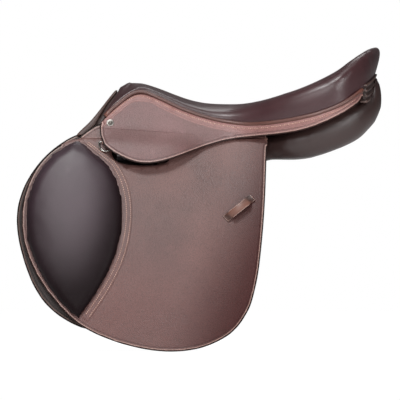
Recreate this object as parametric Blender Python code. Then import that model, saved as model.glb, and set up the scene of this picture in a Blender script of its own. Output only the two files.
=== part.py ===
import math

import bmesh
import bpy
from mathutils import Matrix, Vector
from mathutils.bvhtree import BVHTree
from mathutils.geometry import delaunay_2d_cdt

# English jumping saddle in metres. The front points along minus X and up is plus Z.
# Side pieces are drawn for the left side, where y is minus the half-breadth, and mirrored.
MM = 0.001
SLIT = 0.0003

# Leather and hardware thicknesses
COVER_LEATHER = 0.0025
SKIRT_LEATHER = 0.0035
FLAP_LEATHER = 0.004
SWEAT_LEATHER = 0.003
STRAP_LEATHER = 0.0035
GUARD_LEATHER = 0.0024
LINING_LEATHER = 0.0015
FACING_LEATHER = 0.0024
WEBBING = 0.0015
HEAD_WOOD = 0.008
RAIL_WOOD = 0.008
STEEL_SHEET = 0.0025
WELT_RADIUS = 0.0034

# Barrel surface: the outer face of both flaps
FLAP_TOP_Z = 0.066
FLAP_TOP_BREADTH = 0.083
FLAP_LEAN = 0.50
FLAP_CURL = 0.36
FRONT_WRAP = 0.8
FRONT_WRAP_X = -0.17
REAR_FLARE = 1.9

# Room between the layers, from the flap inwards and outwards
GUARD_ROOM = 0.0022
GUARD_SLIDE_ROOM = 0.0016
SWEAT_ROOM_FRONT = 0.006
SWEAT_ROOM_STRAPS = 0.016
SKIRT_ROOM = 0.0015
BAR_ROOM = 0.014
BAR_ROOM_RISE = 0.025
SEAT_SIDE_SLOPE = 0.22

# The fold line on which the flap and the loose part of the skirt turn
FOLD_FRONT = (-0.188, 0.0544)
FOLD_REAR = (0.0416, 0.0384)
FOLD_OUT = 0.001
FLAP_CUT_Z = 0.0369

# Seat
SADDLE_NAIL = (-0.1712, 0.0612)
COVER_EDGE_RISE = 0.0042
SKIRT_EDGE_DROP = 0.0039
FOAM_FRONT = 0.005
FOAM_REAR = 0.015
FOAM_RIM = 0.008

# Tree
HEAD_INSET = 0.015
HEAD_WIDTH = 0.038
RAIL_WIDTH = 0.026

# Stirrup bar, on the flap at its middle
BAR_X = -0.128
BAR_Z = 0.008
BAR_FRONT = -0.032
BAR_END = 0.028
BAR_HALF = 0.005
BAR_FACE = 0.011
BAR_THICK = 0.0035
PIN_RADIUS = 0.0015

# Girth straps
STRAP_WIDTH = 0.025
STRAP_X = (-0.083, -0.046, -0.009)
STRAP_TOP = 0.050
STRAP_END = -0.268
STRAP_INSET = FLAP_LEATHER * 1.12 + GUARD_ROOM + GUARD_LEATHER * 1.1 + GUARD_SLIDE_ROOM

BROWN = (0.030, 0.016, 0.012)
FLAP_BROWN = (0.060, 0.022, 0.017)
DARK = (0.014, 0.009, 0.008)
STEEL = (0.55, 0.56, 0.58)


for item in list(bpy.data.objects):
    bpy.data.objects.remove(item, do_unlink=True)
for item in list(bpy.data.meshes):
    bpy.data.meshes.remove(item)
for item in list(bpy.data.materials):
    bpy.data.materials.remove(item)


def mm(points):
    return [tuple(value * MM for value in point) for point in points]


def smooth(t):
    t = min(max(t, 0.0), 1.0)
    return t * t * (3.0 - 2.0 * t)


def curve_through(points, spacing, closed=False):
    """A smooth run through the points, sampled about every spacing."""
    points = [Vector(p) for p in points]
    count = len(points)
    run = []
    for i in range(count if closed else count - 1):
        if closed:
            a, b, c, d = (points[(i + k - 1) % count] for k in range(4))
        else:
            b, c = points[i], points[i + 1]
            a = points[i - 1] if i else b * 2 - c
            d = points[i + 2] if i + 2 < count else c * 2 - b
        steps = max(1, round((c - b).length / spacing))
        t1 = max((b - a).length, 1e-6) ** 0.5
        t2 = t1 + max((c - b).length, 1e-6) ** 0.5
        t3 = t2 + max((d - c).length, 1e-6) ** 0.5
        for k in range(steps):
            t = t1 + (t2 - t1) * k / steps
            e = a * ((t1 - t) / t1) + b * (t / t1)
            f = b * ((t2 - t) / (t2 - t1)) + c * ((t - t1) / (t2 - t1))
            g = c * ((t3 - t) / (t3 - t2)) + d * ((t - t2) / (t3 - t2))
            h = e * ((t2 - t) / t2) + f * (t / t2)
            j = f * ((t3 - t) / (t3 - t1)) + g * ((t - t1) / (t3 - t1))
            run.append(h * ((t2 - t) / (t2 - t1)) + j * ((t - t1) / (t2 - t1)))
    if not closed:
        run.append(points[-1].copy())
    return run


def outline_of(runs, spacing):
    """One closed outline from open runs, each smooth in itself, with corners between them."""
    outline = []
    for run in runs:
        for point in curve_through(run, spacing):
            if not outline or (point - outline[-1]).length > 0.0008:
                outline.append(point)
    if (outline[0] - outline[-1]).length < 0.0008:
        outline.pop()
    return outline


class Profile:
    """A height or breadth that follows x through a few points."""

    def __init__(self, points):
        self.run = [(p[0], p[1]) for p in curve_through(mm(points), 0.004)]

    def __call__(self, x):
        run = self.run
        if x <= run[0][0]:
            return run[0][1]
        for (x0, y0), (x1, y1) in zip(run, run[1:]):
            if x <= x1:
                return y0 + (y1 - y0) * (x - x0) / max(x1 - x0, 1e-9)
        return run[-1][1]


seat_top = Profile([
    (-155, 116), (-149, 121.5), (-136, 126), (-120, 124.8), (-91, 115.5), (-59, 102.4), (-27, 93.1),
    (5, 90.9), (53, 94.7), (101, 105), (149, 122), (197, 147), (229, 168.8), (245, 177.6), (257, 180.5),
])
welt_line = Profile([
    (-184, 67), (-171, 81), (-155, 94.4), (-142, 104.8), (-130, 110.4), (-117, 110.4), (-91, 100),
    (-59, 84.8), (-27, 73), (5, 64.8), (45, 59.2), (85, 61), (133, 68.8), (165, 76.8), (197, 89.6),
    (221, 104.8), (234, 115.2),
])
seat_breadth = Profile([
    (-5, 86), (53, 108), (101, 130), (150, 146), (195, 148), (215, 141), (227, 131), (234, 121),
])
seat_dish = Profile([(-160, 0), (0, 0), (50, 4), (100, 8), (150, 11), (200, 12), (238, 8), (258, 4)])


def off_welt(x, distance):
    """Height of a line that keeps a distance from the welt line, square to it."""
    slope = (welt_line(x + 0.002) - welt_line(x - 0.002)) / 0.004
    return welt_line(x) + distance * math.sqrt(1.0 + slope * slope)


def fold_height(x):
    share = (x - FOLD_FRONT[0]) / (FOLD_REAR[0] - FOLD_FRONT[0])
    return FOLD_FRONT[1] + (FOLD_REAR[1] - FOLD_FRONT[1]) * share


def barrel(x, z):
    """Half-breadth of the flap's outer face."""
    drop = FLAP_TOP_Z - z
    lean = FLAP_LEAN * drop - FLAP_CURL * max(drop, 0.0) ** 2
    wrap = FRONT_WRAP * max(0.0, FRONT_WRAP_X - x) ** 2
    return FLAP_TOP_BREADTH + lean - wrap + REAR_FLARE * max(0.0, x) ** 2


def skirt_face(x, z):
    """Half-breadth of the skirt's outer face: close on the flap in front, over the seat's edge behind."""
    over_bar = smooth((x + 0.205) / 0.03) * (1.0 - smooth((x + 0.078) / 0.07))
    stand_off = BAR_ROOM * over_bar * smooth((fold_height(x) - z) / BAR_ROOM_RISE)
    near = barrel(x, z) + SKIRT_LEATHER * 1.15 + SKIRT_ROOM + stand_off
    far = seat_breadth(x) + SEAT_SIDE_SLOPE * (welt_line(x) - z)
    behind = smooth((x + 0.003) / 0.088)
    return near * (1.0 - behind) + far * behind


def sweat_face(x, z):
    """Half-breadth of the sweat flap's outer face."""
    room = SWEAT_ROOM_FRONT + (SWEAT_ROOM_STRAPS - SWEAT_ROOM_FRONT) * smooth((x + 0.27) / 0.15)
    return barrel(x, z) - FLAP_LEATHER * 1.12 - room


def inset(face, depth):
    """The face moved inwards by a depth measured square to it."""
    def moved(x, z):
        step = 0.002
        along = (face(x + step, z) - face(x - step, z)) / (2 * step)
        down = (face(x, z + step) - face(x, z - step)) / (2 * step)
        return face(x, z) - depth * math.sqrt(1.0 + along * along + down * down)
    return moved


def material_for(name, colour, roughness, metallic=0.0):
    material = bpy.data.materials.new(name)
    material.use_nodes = True
    shader = material.node_tree.nodes["Principled BSDF"]
    shader.inputs["Base Color"].default_value = (*colour, 1.0)
    shader.inputs["Roughness"].default_value = roughness
    shader.inputs["Metallic"].default_value = metallic
    material.diffuse_color = (*colour, 1.0)
    return material


def piece(name, points, faces, look):
    """A closed mesh object with its normals outwards."""
    mesh = bpy.data.meshes.new(name)
    work = bmesh.new()
    corners = [work.verts.new(p) for p in points]
    for face in faces:
        work.faces.new([corners[i] for i in face])
    bmesh.ops.remove_doubles(work, verts=work.verts, dist=1e-6)
    bmesh.ops.recalc_face_normals(work, faces=work.faces)
    work.to_mesh(mesh)
    work.free()
    obj = bpy.data.objects.new(name, mesh)
    bpy.context.scene.collection.objects.link(obj)
    mesh.materials.append(material_for(name, *look))
    mesh.shade_smooth()
    mesh.set_sharp_from_angle(angle=math.radians(35))
    return obj


def set_origin(obj, point):
    obj.data.transform(Matrix.Translation(-Vector(point)))
    obj.location = point


def mirrored(obj, look):
    """The right-hand twin of a left-hand piece."""
    name = obj.name.replace("_left", "_right")
    mesh = obj.data.copy()
    mesh.name = name
    mesh.transform(Matrix.Scale(-1.0, 4, (0.0, 1.0, 0.0)))
    mesh.flip_normals()
    mesh.materials.clear()
    mesh.materials.append(material_for(name, *look))
    twin = bpy.data.objects.new(name, mesh)
    twin.location = (obj.location.x, -obj.location.y, obj.location.z)
    bpy.context.scene.collection.objects.link(twin)
    return twin


def distance_to(outline, x, z):
    """Distance from a point to the outline, and whether the point is inside."""
    inside = False
    nearest = 1.0
    for a, b in zip(outline, outline[1:] + outline[:1]):
        if (a[1] > z) != (b[1] > z):
            if x < a[0] + (z - a[1]) * (b[0] - a[0]) / (b[1] - a[1]):
                inside = not inside
        edge = b - a
        share = edge.dot(Vector((x, z)) - a) / max(edge.length_squared, 1e-12)
        foot = a + edge * min(max(share, 0.0), 1.0)
        nearest = min(nearest, (foot - Vector((x, z))).length)
    return nearest, inside


def filled(outline, step, rings=()):
    """Flat points and triangles over an outline, on a grid and on rings set in from its edge."""
    points = [Vector(p) for p in outline]
    count = len(points)
    edges = [(i, (i + 1) % count) for i in range(count)]
    area = sum(a.x * b.y - b.x * a.y for a, b in zip(points, points[1:] + points[:1]))
    turn = math.copysign(1.0, area)
    for depth in rings:
        for i in range(count):
            along = (points[(i + 1) % count] - points[i - 1]).normalized()
            moved = points[i] + Vector((-along.y, along.x)) * turn * depth
            distance, inside = distance_to(points[:count], *moved)
            if inside and distance > depth * 0.9:
                points.append(moved)
    reach = max(rings, default=0.0) + step * 0.45
    left, right = min(p.x for p in outline), max(p.x for p in outline)
    low, high = min(p.y for p in outline), max(p.y for p in outline)
    rows = int((high - low) / (step * 0.87)) + 1
    for row in range(1, rows):
        z = low + row * step * 0.87
        for column in range(int((right - left) / step) + 2):
            x = left + (column + 0.5 * (row % 2)) * step
            distance, inside = distance_to(points[:count], x, z)
            if inside and distance > reach:
                points.append(Vector((x, z)))
    found = delaunay_2d_cdt(points, edges, [], 1, 1e-7)
    return [Vector(p) for p in found[0]], [tuple(face) for face in found[2]]


def between(name, outline, outer, inner, step, look, rings=()):
    """A left-hand piece bounded by an outline, an outer face and an inner face."""
    flat, triangles = filled(outline, step, rings)
    count = len(flat)
    points = [(p.x, -outer(p.x, p.y), p.y) for p in flat]
    points += [(p.x, -inner(p.x, p.y), p.y) for p in flat]
    faces = [face for face in triangles] + [tuple(i + count for i in reversed(face)) for face in triangles]
    used = {}
    for face in triangles:
        for a, b in zip(face, face[1:] + face[:1]):
            used[(a, b)] = True
    for a, b in used:
        if (b, a) not in used:
            faces.append((b, a, a + count, b + count))
    return piece(name, points, faces, look)


def loft(name, rings, look, closed=False):
    """Rings of the same number of points, joined in order. An open run has flat ends."""
    size = len(rings[0])
    points = [tuple(p) for ring in rings for p in ring]
    faces = []
    spans = len(rings) if closed else len(rings) - 1
    for i in range(spans):
        here, there = i * size, ((i + 1) % len(rings)) * size
        for k in range(size):
            after = (k + 1) % size
            faces.append((here + k, here + after, there + after, there + k))
    if not closed:
        faces.append(tuple(range(size)))
        faces.append(tuple(range((len(rings) - 1) * size, len(rings) * size)))
    return piece(name, points, faces, look)


def tube(name, path, radius, look, sides=8, closed=False):
    rings = []
    count = len(path)
    lead = Vector((0.0, 0.0, 1.0))
    for i, point in enumerate(path):
        after = path[(i + 1) % count] if closed or i + 1 < count else point
        before = path[i - 1] if closed or i else point
        along = (after - before).normalized()
        across = along.cross(lead).normalized()
        lead = across.cross(along).normalized()
        ring = []
        for k in range(sides):
            turn = 2.0 * math.pi * k / sides
            ring.append(point + across * (radius * math.cos(turn)) + lead * (radius * math.sin(turn)))
        rings.append(ring)
    return loft(name, rings, look, closed)


def half_and_twin(run):
    """A run from the left side to the middle, carried on to the right side."""
    return run + [Vector((p.x, -p.y, p.z)) for p in reversed(run[:-1])]


def carve(obj, cutter, operation="DIFFERENCE"):
    cutter.hide_render = True
    cutter.display_type = "WIRE"
    change = obj.modifiers.new(cutter.name, "BOOLEAN")
    change.solver = "EXACT"
    change.operation = operation
    change.object = cutter


def settle(obj):
    """The object with its modifiers applied, so that it can be mirrored."""
    graph = bpy.context.evaluated_depsgraph_get()
    made = bpy.data.meshes.new_from_object(obj.evaluated_get(graph))
    helpers = [m.object for m in obj.modifiers if m.type == "BOOLEAN"]
    obj.modifiers.clear()
    obj.data = made
    for helper in helpers:
        bpy.data.objects.remove(helper, do_unlink=True)
    return obj


def frame_on(face, x, z):
    """A frame on a left-hand face: u along x, v up the face, w outwards."""
    step = 0.002
    along = Vector((2 * step, face(x - step, z) - face(x + step, z), 0.0)).normalized()
    up = Vector((0.0, face(x, z - step) - face(x, z + step), 2 * step)).normalized()
    out = along.cross(up).normalized()
    up = out.cross(along)
    place = Matrix((along, up, out)).transposed().to_4x4()
    place.translation = (x, -face(x, z), z)
    return place


def box_in(name, place, low, high, look):
    spans = list(zip(low, high))
    corners = [Vector((x, y, z)) for x in spans[0] for y in spans[1] for z in spans[2]]
    faces = [(0, 1, 3, 2), (4, 6, 7, 5), (0, 4, 5, 1), (2, 3, 7, 6), (0, 2, 6, 4), (1, 5, 7, 3)]
    return piece(name, [place @ c for c in corners], faces, look)


def rod_in(name, place, centre, radius, low, high, look, sides=16):
    rings = []
    for level in (low, high):
        ring = []
        for k in range(sides):
            turn = 2.0 * math.pi * k / sides
            u, v = centre[0] + radius * math.cos(turn), centre[1] + radius * math.sin(turn)
            ring.append(place @ Vector((u, v, level)))
        rings.append(ring)
    return loft(name, rings, look)


def barrel_point(x, z, out):
    """A left-hand point, out from the flap's outer face by a distance measured square to it."""
    return Vector((x, -inset(barrel, -out)(x, z), z))


# Seat cover: rays run from the middle of the seat, over the rim, down to the welt.
def side_ray(x):
    """Points of the seat's section at x: middle, rim, widest place, lower edge."""
    edge_z = off_welt(x, COVER_EDGE_RISE)
    top = seat_top(x)
    edge = skirt_face(x, edge_z)
    behind = smooth(x / 0.12)
    rim = edge * (0.60 + 0.27 * behind)
    rim_z = top - 0.20 * (top - edge_z) * (1.0 - behind)
    wide = edge * 0.94 * (1.0 - behind) + (edge + 0.002) * behind
    wide_z = edge_z + (0.40 + 0.14 * behind) * (top - edge_z)
    middle = Vector((x, 0.0, top - seat_dish(x)))
    return [middle, Vector((x, rim, rim_z)), Vector((x, wide, wide_z)), Vector((x, edge, edge_z))]


SIDE_STATIONS = [x * MM for x in (-113, -88, -56, -22, 16, 55, 95, 135, 172, 203)]
FRONT_RAYS = [
    mm([(-139, 0, 126.2), (-150, 0, 121.3), (-155, 0, 118.5), (-159, 0, 113.5)]),
    mm([(-138, 0, 126.2), (-150, 25, 118), (-157, 30, 113), (-162, 31.5, 108.5)]),
    mm([(-136, 0, 126.2), (-148, 42, 112), (-161, 53, 103), (-171, 57.5, 95)]),
    mm([(-133, 0, 126), (-143, 49, 113.5), (-164, 68, 94), (-182, 80, 79)]),
    mm([(-129, 0, 125.8), (-134, 48, 118), (-146, 62, 110), (-160, 73, 99.6)]),
    mm([(-122, 0, 125.2), (-125, 45, 120.5), (-129, 60, 118.8), (-133, 66, 117)]),
]
REAR_RAYS = [
    mm([(220, 0, 153), (231, 100, 169.5), (237, 119, 145), (235, 118, 120)]),
    mm([(229, 0, 161), (244, 66, 177), (252, 83, 157), (246, 88, 129)]),
    mm([(234, 0, 165.5), (253, 33, 180), (261, 44, 163), (251.5, 50, 136)]),
    mm([(237, 0, 168), (257, 0, 180.5), (263.5, 0, 167), (253.5, 0, 138.5)]),
]


def radial(ray):
    """The ray's four points as a smooth line of eight."""
    middle, rim, wide, edge = ray
    mirror = Vector((2 * middle.x - rim.x, -rim.y, rim.z))
    past = edge * 2 - wide
    line = []
    spans = ((mirror, middle, rim, wide, 3), (middle, rim, wide, edge, 2), (rim, wide, edge, past, 2))
    for a, b, c, d, steps in spans:
        for k in range(steps):
            t = k / steps
            line.append((b * 2 + (c - a) * t + (a * 2 - b * 5 + c * 4 - d) * t * t
                         + (b * 3 - a - c * 3 + d) * t ** 3) * 0.5)
    line.append(edge)
    return line


def seat_rays():
    rays = [[Vector(p) for p in ray] for ray in FRONT_RAYS]
    rays += [side_ray(x) for x in SIDE_STATIONS]
    rays += [[Vector(p) for p in ray] for ray in REAR_RAYS]
    lines = [radial(ray) for ray in rays]
    full = []
    for i in range(len(lines) - 1):
        full.append(lines[i])
        before = lines[i - 1] if i else None
        after = lines[i + 2] if i + 2 < len(lines) else None
        halfway = []
        for k, (b, c) in enumerate(zip(lines[i], lines[i + 1])):
            a = before[k] if before else Vector((lines[1][k].x, -lines[1][k].y, lines[1][k].z))
            d = after[k] if after else Vector((lines[-2][k].x, -lines[-2][k].y, lines[-2][k].z))
            halfway.append((b + c) * 0.5625 - (a + d) * 0.0625)
        halfway[0].y = 0.0
        full.append(halfway)
    full.append(lines[-1])
    full[1][0] = full[0][0].copy()
    full[-2][0] = full[-1][0].copy()
    return full


RAYS = seat_rays()


def seat_shell(rows):
    """The seat's upper surface as an open mesh of both halves, down to a row."""
    work = bmesh.new()
    for side in (-1.0, 1.0):
        grid = [[work.verts.new((p.x, side * p.y, p.z)) for p in ray[:rows]] for ray in RAYS]
        for here, there in zip(grid, grid[1:]):
            for k in range(rows - 1):
                work.faces.new((here[k], here[k + 1], there[k + 1], there[k]))
    bmesh.ops.remove_doubles(work, verts=work.verts, dist=1e-5)
    bmesh.ops.triangulate(work, faces=work.faces, quad_method="SHORT_EDGE")
    bmesh.ops.recalc_face_normals(work, faces=work.faces)
    if sum(face.normal.z * face.calc_area() for face in work.faces) < 0:
        bmesh.ops.reverse_faces(work, faces=work.faces)
    work.normal_update()
    work.verts.index_update()
    return work


def closed_skin(name, work, upper, lower, look):
    """A solid between two copies of an open surface that share its faces."""
    count = len(upper)
    faces = [tuple(v.index for v in face.verts) for face in work.faces]
    faces += [tuple(i + count for i in reversed(face)) for face in faces]
    for edge in work.edges:
        if edge.is_boundary:
            a, b = edge.verts[0].index, edge.verts[1].index
            faces.append((a, b, b + count, a + count))
    return piece(name, [tuple(p) for p in upper + lower], faces, look)


def foam_depth(x):
    rear = FOAM_REAR - (FOAM_REAR - FOAM_RIM) * smooth((x - 0.19) / 0.04)
    return FOAM_FRONT + (rear - FOAM_FRONT) * smooth((x + 0.12) / 0.22)


def seat():
    """The leather cover, and the foam under it out to the roll of the rim."""
    cover = seat_shell(8)
    upper = [vert.co.copy() for vert in cover.verts]
    lower = [vert.co - vert.normal * COVER_LEATHER for vert in cover.verts]
    closed_skin("seat_cover", cover, upper, lower, (BROWN, 0.42))
    nearest = {tuple(round(c, 6) for c in vert.co): vert.normal.copy() for vert in cover.verts}
    filling = seat_shell(5)
    upper = []
    for vert in filling.verts:
        normal = nearest[tuple(round(c, 6) for c in vert.co)]
        upper.append(vert.co - normal * (COVER_LEATHER + SLIT * 1.3))
    lower = []
    for vert, p in zip(filling.verts, upper):
        skived = 0.4 if vert.is_boundary else 1.0
        lower.append(Vector((p.x, p.y, p.z - foam_depth(p.x) * skived)))
    foam = closed_skin("seat_foam", filling, upper, lower, ((0.55, 0.50, 0.38), 0.9))
    floor = bmesh.new()
    floor.from_mesh(foam.data)
    tree = BVHTree.FromBMesh(floor)
    floor.free()
    cover.free()
    filling.free()
    return tree


FOAM_TREE = seat()


def foam_floor(x, y):
    """Height of the foam's lower face."""
    hit = FOAM_TREE.ray_cast(Vector((x, y, 0.0)), Vector((0.0, 0.0, 1.0)))[0]
    return hit.z


# Tree: a laminated head arch, a rail round the seat, steel springs and webbing
def head_run(depth, low=0.036):
    """The head arch from the left point to the middle, at a depth inside the flap."""
    shift = depth - HEAD_INSET
    run = []
    for z in (low, 0.055, 0.075):
        x = -0.134 - (0.110 - z) * 0.447
        run.append(Vector((x, -(barrel(x, z) - depth), z)))
    run += [Vector(p) for p in mm([(-143, -47, 90), (-137, -28, 102.5), (-134, 0, 107.5)])]
    for point in run[3:]:
        point.z -= shift
        point.y *= 1.0 - shift / 0.06
    return curve_through(run, 0.013)


def arch_band(name, run, width, thick, look):
    """A flat band along an arch, its width lying along x."""
    path = half_and_twin(run)
    rings = []
    for i, point in enumerate(path):
        along = path[min(i + 1, len(path) - 1)] - path[max(i - 1, 0)]
        out = Vector((0.0, -along.z, along.y)).normalized()
        if out.dot(point - Vector((point.x, 0.0, 0.03))) < 0:
            out = -out
        rings.append([
            point + Vector((-width / 2, 0, 0)) - out * (thick / 2),
            point + Vector((width / 2, 0, 0)) - out * (thick / 2),
            point + Vector((width / 2, 0, 0)) + out * (thick / 2),
            point + Vector((-width / 2, 0, 0)) + out * (thick / 2),
        ])
    return loft(name, rings, look)


WOOD = ((0.45, 0.30, 0.16), 0.6)
tree_head = arch_band("tree_head", head_run(HEAD_INSET), HEAD_WIDTH, HEAD_WOOD, WOOD)
plate_depth = HEAD_INSET + (HEAD_WOOD / 2 + SLIT + STEEL_SHEET / 2) * 1.4
arch_band("gullet_plate", head_run(plate_depth, 0.046), 0.028, STEEL_SHEET, (STEEL, 0.45, 1.0))

RAIL = mm([
    (-117.5, -41, 95.5), (-60, -44, 77.5), (-20, -46, 66.5), (30, -55, 60), (80, -75, 67), (130, -93, 83),
    (180, -102, 105), (210, -86, 119), (227, -50, 129), (233, 0, 133),
])
RAIL_RUN = curve_through(RAIL, 0.03)


def rail_tree():
    path = half_and_twin(RAIL_RUN)
    rings = []
    for i, point in enumerate(path):
        along = (path[min(i + 1, len(path) - 1)] - path[max(i - 1, 0)]).normalized()
        across = Vector((-along.y, along.x, 0.0)).normalized() * (RAIL_WIDTH / 2)
        rise = along.cross(across).normalized() * (RAIL_WOOD / 2)
        low, high = point - rise, point + rise
        rings.append([low - across, low + across, high + across, high - across])
    return loft("tree_rails", rings, WOOD)


rail_tree()


def spring():
    """A steel strip under the left rail."""
    path = [point for point in RAIL_RUN if point.x < 0.15]
    rings = []
    for i, point in enumerate(path):
        along = (path[min(i + 1, len(path) - 1)] - path[max(i - 1, 0)]).normalized()
        across = Vector((-along.y, along.x, 0.0)).normalized()
        rise = along.cross(across).normalized()
        if rise.z < 0:
            rise = -rise
        low = point - rise * (RAIL_WOOD / 2 + 2 * SLIT + STEEL_SHEET)
        rings.append([
            low - across * 0.006, low + across * 0.006,
            low + across * 0.006 + rise * STEEL_SHEET, low - across * 0.006 + rise * STEEL_SHEET,
        ])
    left = loft("tree_spring_left", rings, (STEEL, 0.5, 1.0))
    mirrored(left, (STEEL, 0.5, 1.0))


spring()
CANVAS = ((0.50, 0.44, 0.32), 0.85)


def seat_web():
    """The long web strained from the head to the cantle under the foam."""
    rings = []
    half = 0.025
    for x in [value * MM for value in range(-110, 226, 14)]:
        top = min(foam_floor(x, y) for y in (-half, 0.0, half)) - 3 * SLIT
        low = top - WEBBING
        rings.append([Vector((x, y, z)) for y, z in ((-half, low), (half, low), (half, top), (-half, top))])
    loft("seat_web", rings, CANVAS)


def rail_at(x):
    """The left rail's middle line at x."""
    for a, b in zip(RAIL_RUN, RAIL_RUN[1:]):
        if a.x <= x <= b.x:
            return a.lerp(b, (x - a.x) / (b.x - a.x))


def web_line(x):
    """The left half of a girth web's middle face at x: down the side, over the rail, under the seat web."""
    rail = rail_at(x)
    over = rail.z + RAIL_WOOD * 0.54 + 2 * SLIT + WEBBING / 2
    outer = rail.y - RAIL_WIDTH / 2
    drop = STRAP_INSET + STRAP_LEATHER * 1.12 + SLIT * 2 + WEBBING * 0.6
    run = [Vector((x, -(barrel(x, z) - drop), z)) for z in (0.036, 0.048, 0.060)]
    beside = min(outer - 2 * WEBBING, -(barrel(x, over - 0.010) - drop))
    run.append(Vector((x, beside, over - 0.010)))
    run.append(Vector((x, outer - WEBBING * 1.8, over - WEBBING * 1.6)))
    run += [Vector((x, outer - SLIT, over)), Vector((x, outer + RAIL_WIDTH, over))]
    run.append(Vector((x, 0.0, min(foam_floor(x, 0.0), foam_floor(x, 0.025)) - 5 * SLIT - 1.5 * WEBBING)))
    return run


def girth_web(name, x, width):
    """A web over both rails that carries the straps at its ends."""
    lines = [half_and_twin(web_line(x + width * share)) for share in (-0.5, 0.0, 0.5)]
    rings = []
    for i in range(len(lines[0])):
        inner, outer = [], []
        for line in lines:
            along = line[min(i + 1, len(line) - 1)] - line[max(i - 1, 0)]
            out = Vector((0.0, -along.z, along.y)).normalized() * (WEBBING / 2)
            inner.append(line[i] - out)
            outer.append(line[i] + out)
        rings.append(inner + outer[::-1])
    loft(name, rings, CANVAS)


seat_web()
girth_web("girth_web_front", (STRAP_X[0] + STRAP_X[1]) / 2, 0.062)
girth_web("girth_web_rear", STRAP_X[2], 0.030)


# Welt and skirt
WELT_FRONT = -0.1795
WELT_REAR = 0.2325
WELT_SUNK = 0.0015
WELT_SPANS = 37
SKIRT_TOP_FRONT = -0.1825
SKIRT_TOP_REAR = 0.2305
SKIRT_TOP_SPANS = 26


def welt():
    run = []
    for i in range(WELT_SPANS + 1):
        x = WELT_FRONT + (WELT_REAR - WELT_FRONT) * i / WELT_SPANS
        z = welt_line(x)
        run.append(Vector((x, -(skirt_face(x, z) - WELT_SUNK), z)))
    left = tube("welt_left", run, WELT_RADIUS, (DARK, 0.45))
    mirrored(left, (DARK, 0.45))


def skirt_top():
    edge = []
    for i in range(SKIRT_TOP_SPANS + 1):
        x = SKIRT_TOP_FRONT + (SKIRT_TOP_REAR - SKIRT_TOP_FRONT) * i / SKIRT_TOP_SPANS
        edge.append((x, off_welt(x, -SKIRT_EDGE_DROP)))
    return edge


FOLD_STOP = 0.030
skirt_end = mm([(233.8, 109), (233.6, 100), (224, 89.6)])
skirt_tail = mm([(224, 89.6), (197, 73.3), (165, 58.4), (141, 49.6), (93, 41.9), (45, 37.4)])
lobe_edge = mm([
    (27, 35), (12, 32.3), (-19, 23.2), (-51, 11.2), (-83, 0.3), (-112, -4.3), (-139, 0), (-163, 11.2),
    (-181, 24.8), (-187, 41.6), (-188, 53.8),
])


def skirts():
    look = (FLAP_BROWN, 0.5)
    fold = [(FOLD_STOP + 0.0003, fold_height(FOLD_STOP)), (FOLD_FRONT[0], FOLD_FRONT[1] + SLIT / 2)]
    tail = skirt_tail + [(FOLD_STOP + 0.0003, 0.0355)]
    top = skirt_top()
    front = [fold[-1], (-0.187, 0.0595), top[0]]
    fixed = outline_of([top, [top[-1]] + skirt_end, tail, [tail[-1], fold[0]], fold, front], 0.022)
    inner = inset(skirt_face, SKIRT_LEATHER)
    left = between("skirt_left", fixed, skirt_face, inner, 0.024, look)
    mirrored(left, look)
    low = [(x, z - SLIT) for x, z in ((FOLD_FRONT[0], FOLD_FRONT[1]), (FOLD_STOP, fold_height(FOLD_STOP)))]
    edge = [(FOLD_STOP, 0.0357)] + lobe_edge[:-1] + [low[0]]
    loose = outline_of([low, [low[1], edge[0]], edge], 0.018)
    lobe = between("skirt_lobe_left", loose, skirt_face, inner, 0.022, look)
    set_origin(lobe, FOLD_POINT)
    mirrored(lobe, look)


def fold_point(spot):
    return Vector((spot[0], -(skirt_face(*spot) + FOLD_OUT), spot[1]))


FOLD_POINT = fold_point(FOLD_FRONT)
welt()
skirts()

# Flap, with the cut that lets it lift past the stirrup bar
flap_front = mm([
    (-222.4, 36.6), (-238, 32), (-254, 24.5), (-269, 13.6), (-283, -1.6), (-294.5, -18), (-304, -40),
    (-310.5, -62), (-313, -86), (-312.5, -110), (-308, -136), (-299, -160), (-286, -187), (-267, -214),
    (-245, -239), (-219, -262), (-187, -279),
])
flap_bottom = mm([
    (-187, -279), (-155, -291), (-123, -299), (-75, -304.5), (-27, -299), (5, -286), (21, -276.5),
    (37, -260.5), (53, -233.5),
])
flap_rear = mm([(53, -233.5), (64, -190), (72, -126), (76.8, -62), (79.2, 2), (80.8, 36.6)])
bar_cut = mm([(-74, 4), (-80, -3), (-96, -7), (-146, -6.5), (-160, -2), (-170, 8)])


def flap_outline():
    top = FLAP_CUT_Z - SLIT
    cut = [(bar_cut[0][0], top)] + bar_cut + [(bar_cut[-1][0], top)]
    straight = [[a, b] for a, b in zip(cut, cut[1:])]
    first = [[(flap_rear[-1][0], top), cut[0]]] + straight + [[cut[-1], (flap_front[0][0], top)]]
    return outline_of([flap_front, flap_bottom, flap_rear[:-1] + [(flap_rear[-1][0], top)]] + first, 0.023)


def flaps():
    look = (FLAP_BROWN, 0.5)
    left = between("flap_left", flap_outline(), barrel, inset(barrel, FLAP_LEATHER), 0.026, look)
    set_origin(left, FOLD_POINT)
    mirrored(left, look)
    low = FLAP_CUT_Z + SLIT / 2
    runs = [
        [(-0.2224, low), (-0.2112, 0.0462), (-0.200, 0.054), (-0.1904, 0.0605)],
        [(-0.1904, 0.0605), (-0.160, 0.0605)], [(-0.160, 0.0605), (0.0, 0.0585), (0.0805, 0.0505)],
        [(0.0805, 0.0505), (0.0808, low)], [(0.0808, low), (-0.2224, low)],
    ]
    strip = outline_of(runs, 0.022)
    left = between("flap_top_left", strip, barrel, inset(barrel, FLAP_LEATHER), 0.02, look)
    mirrored(left, look)


flaps()

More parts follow.
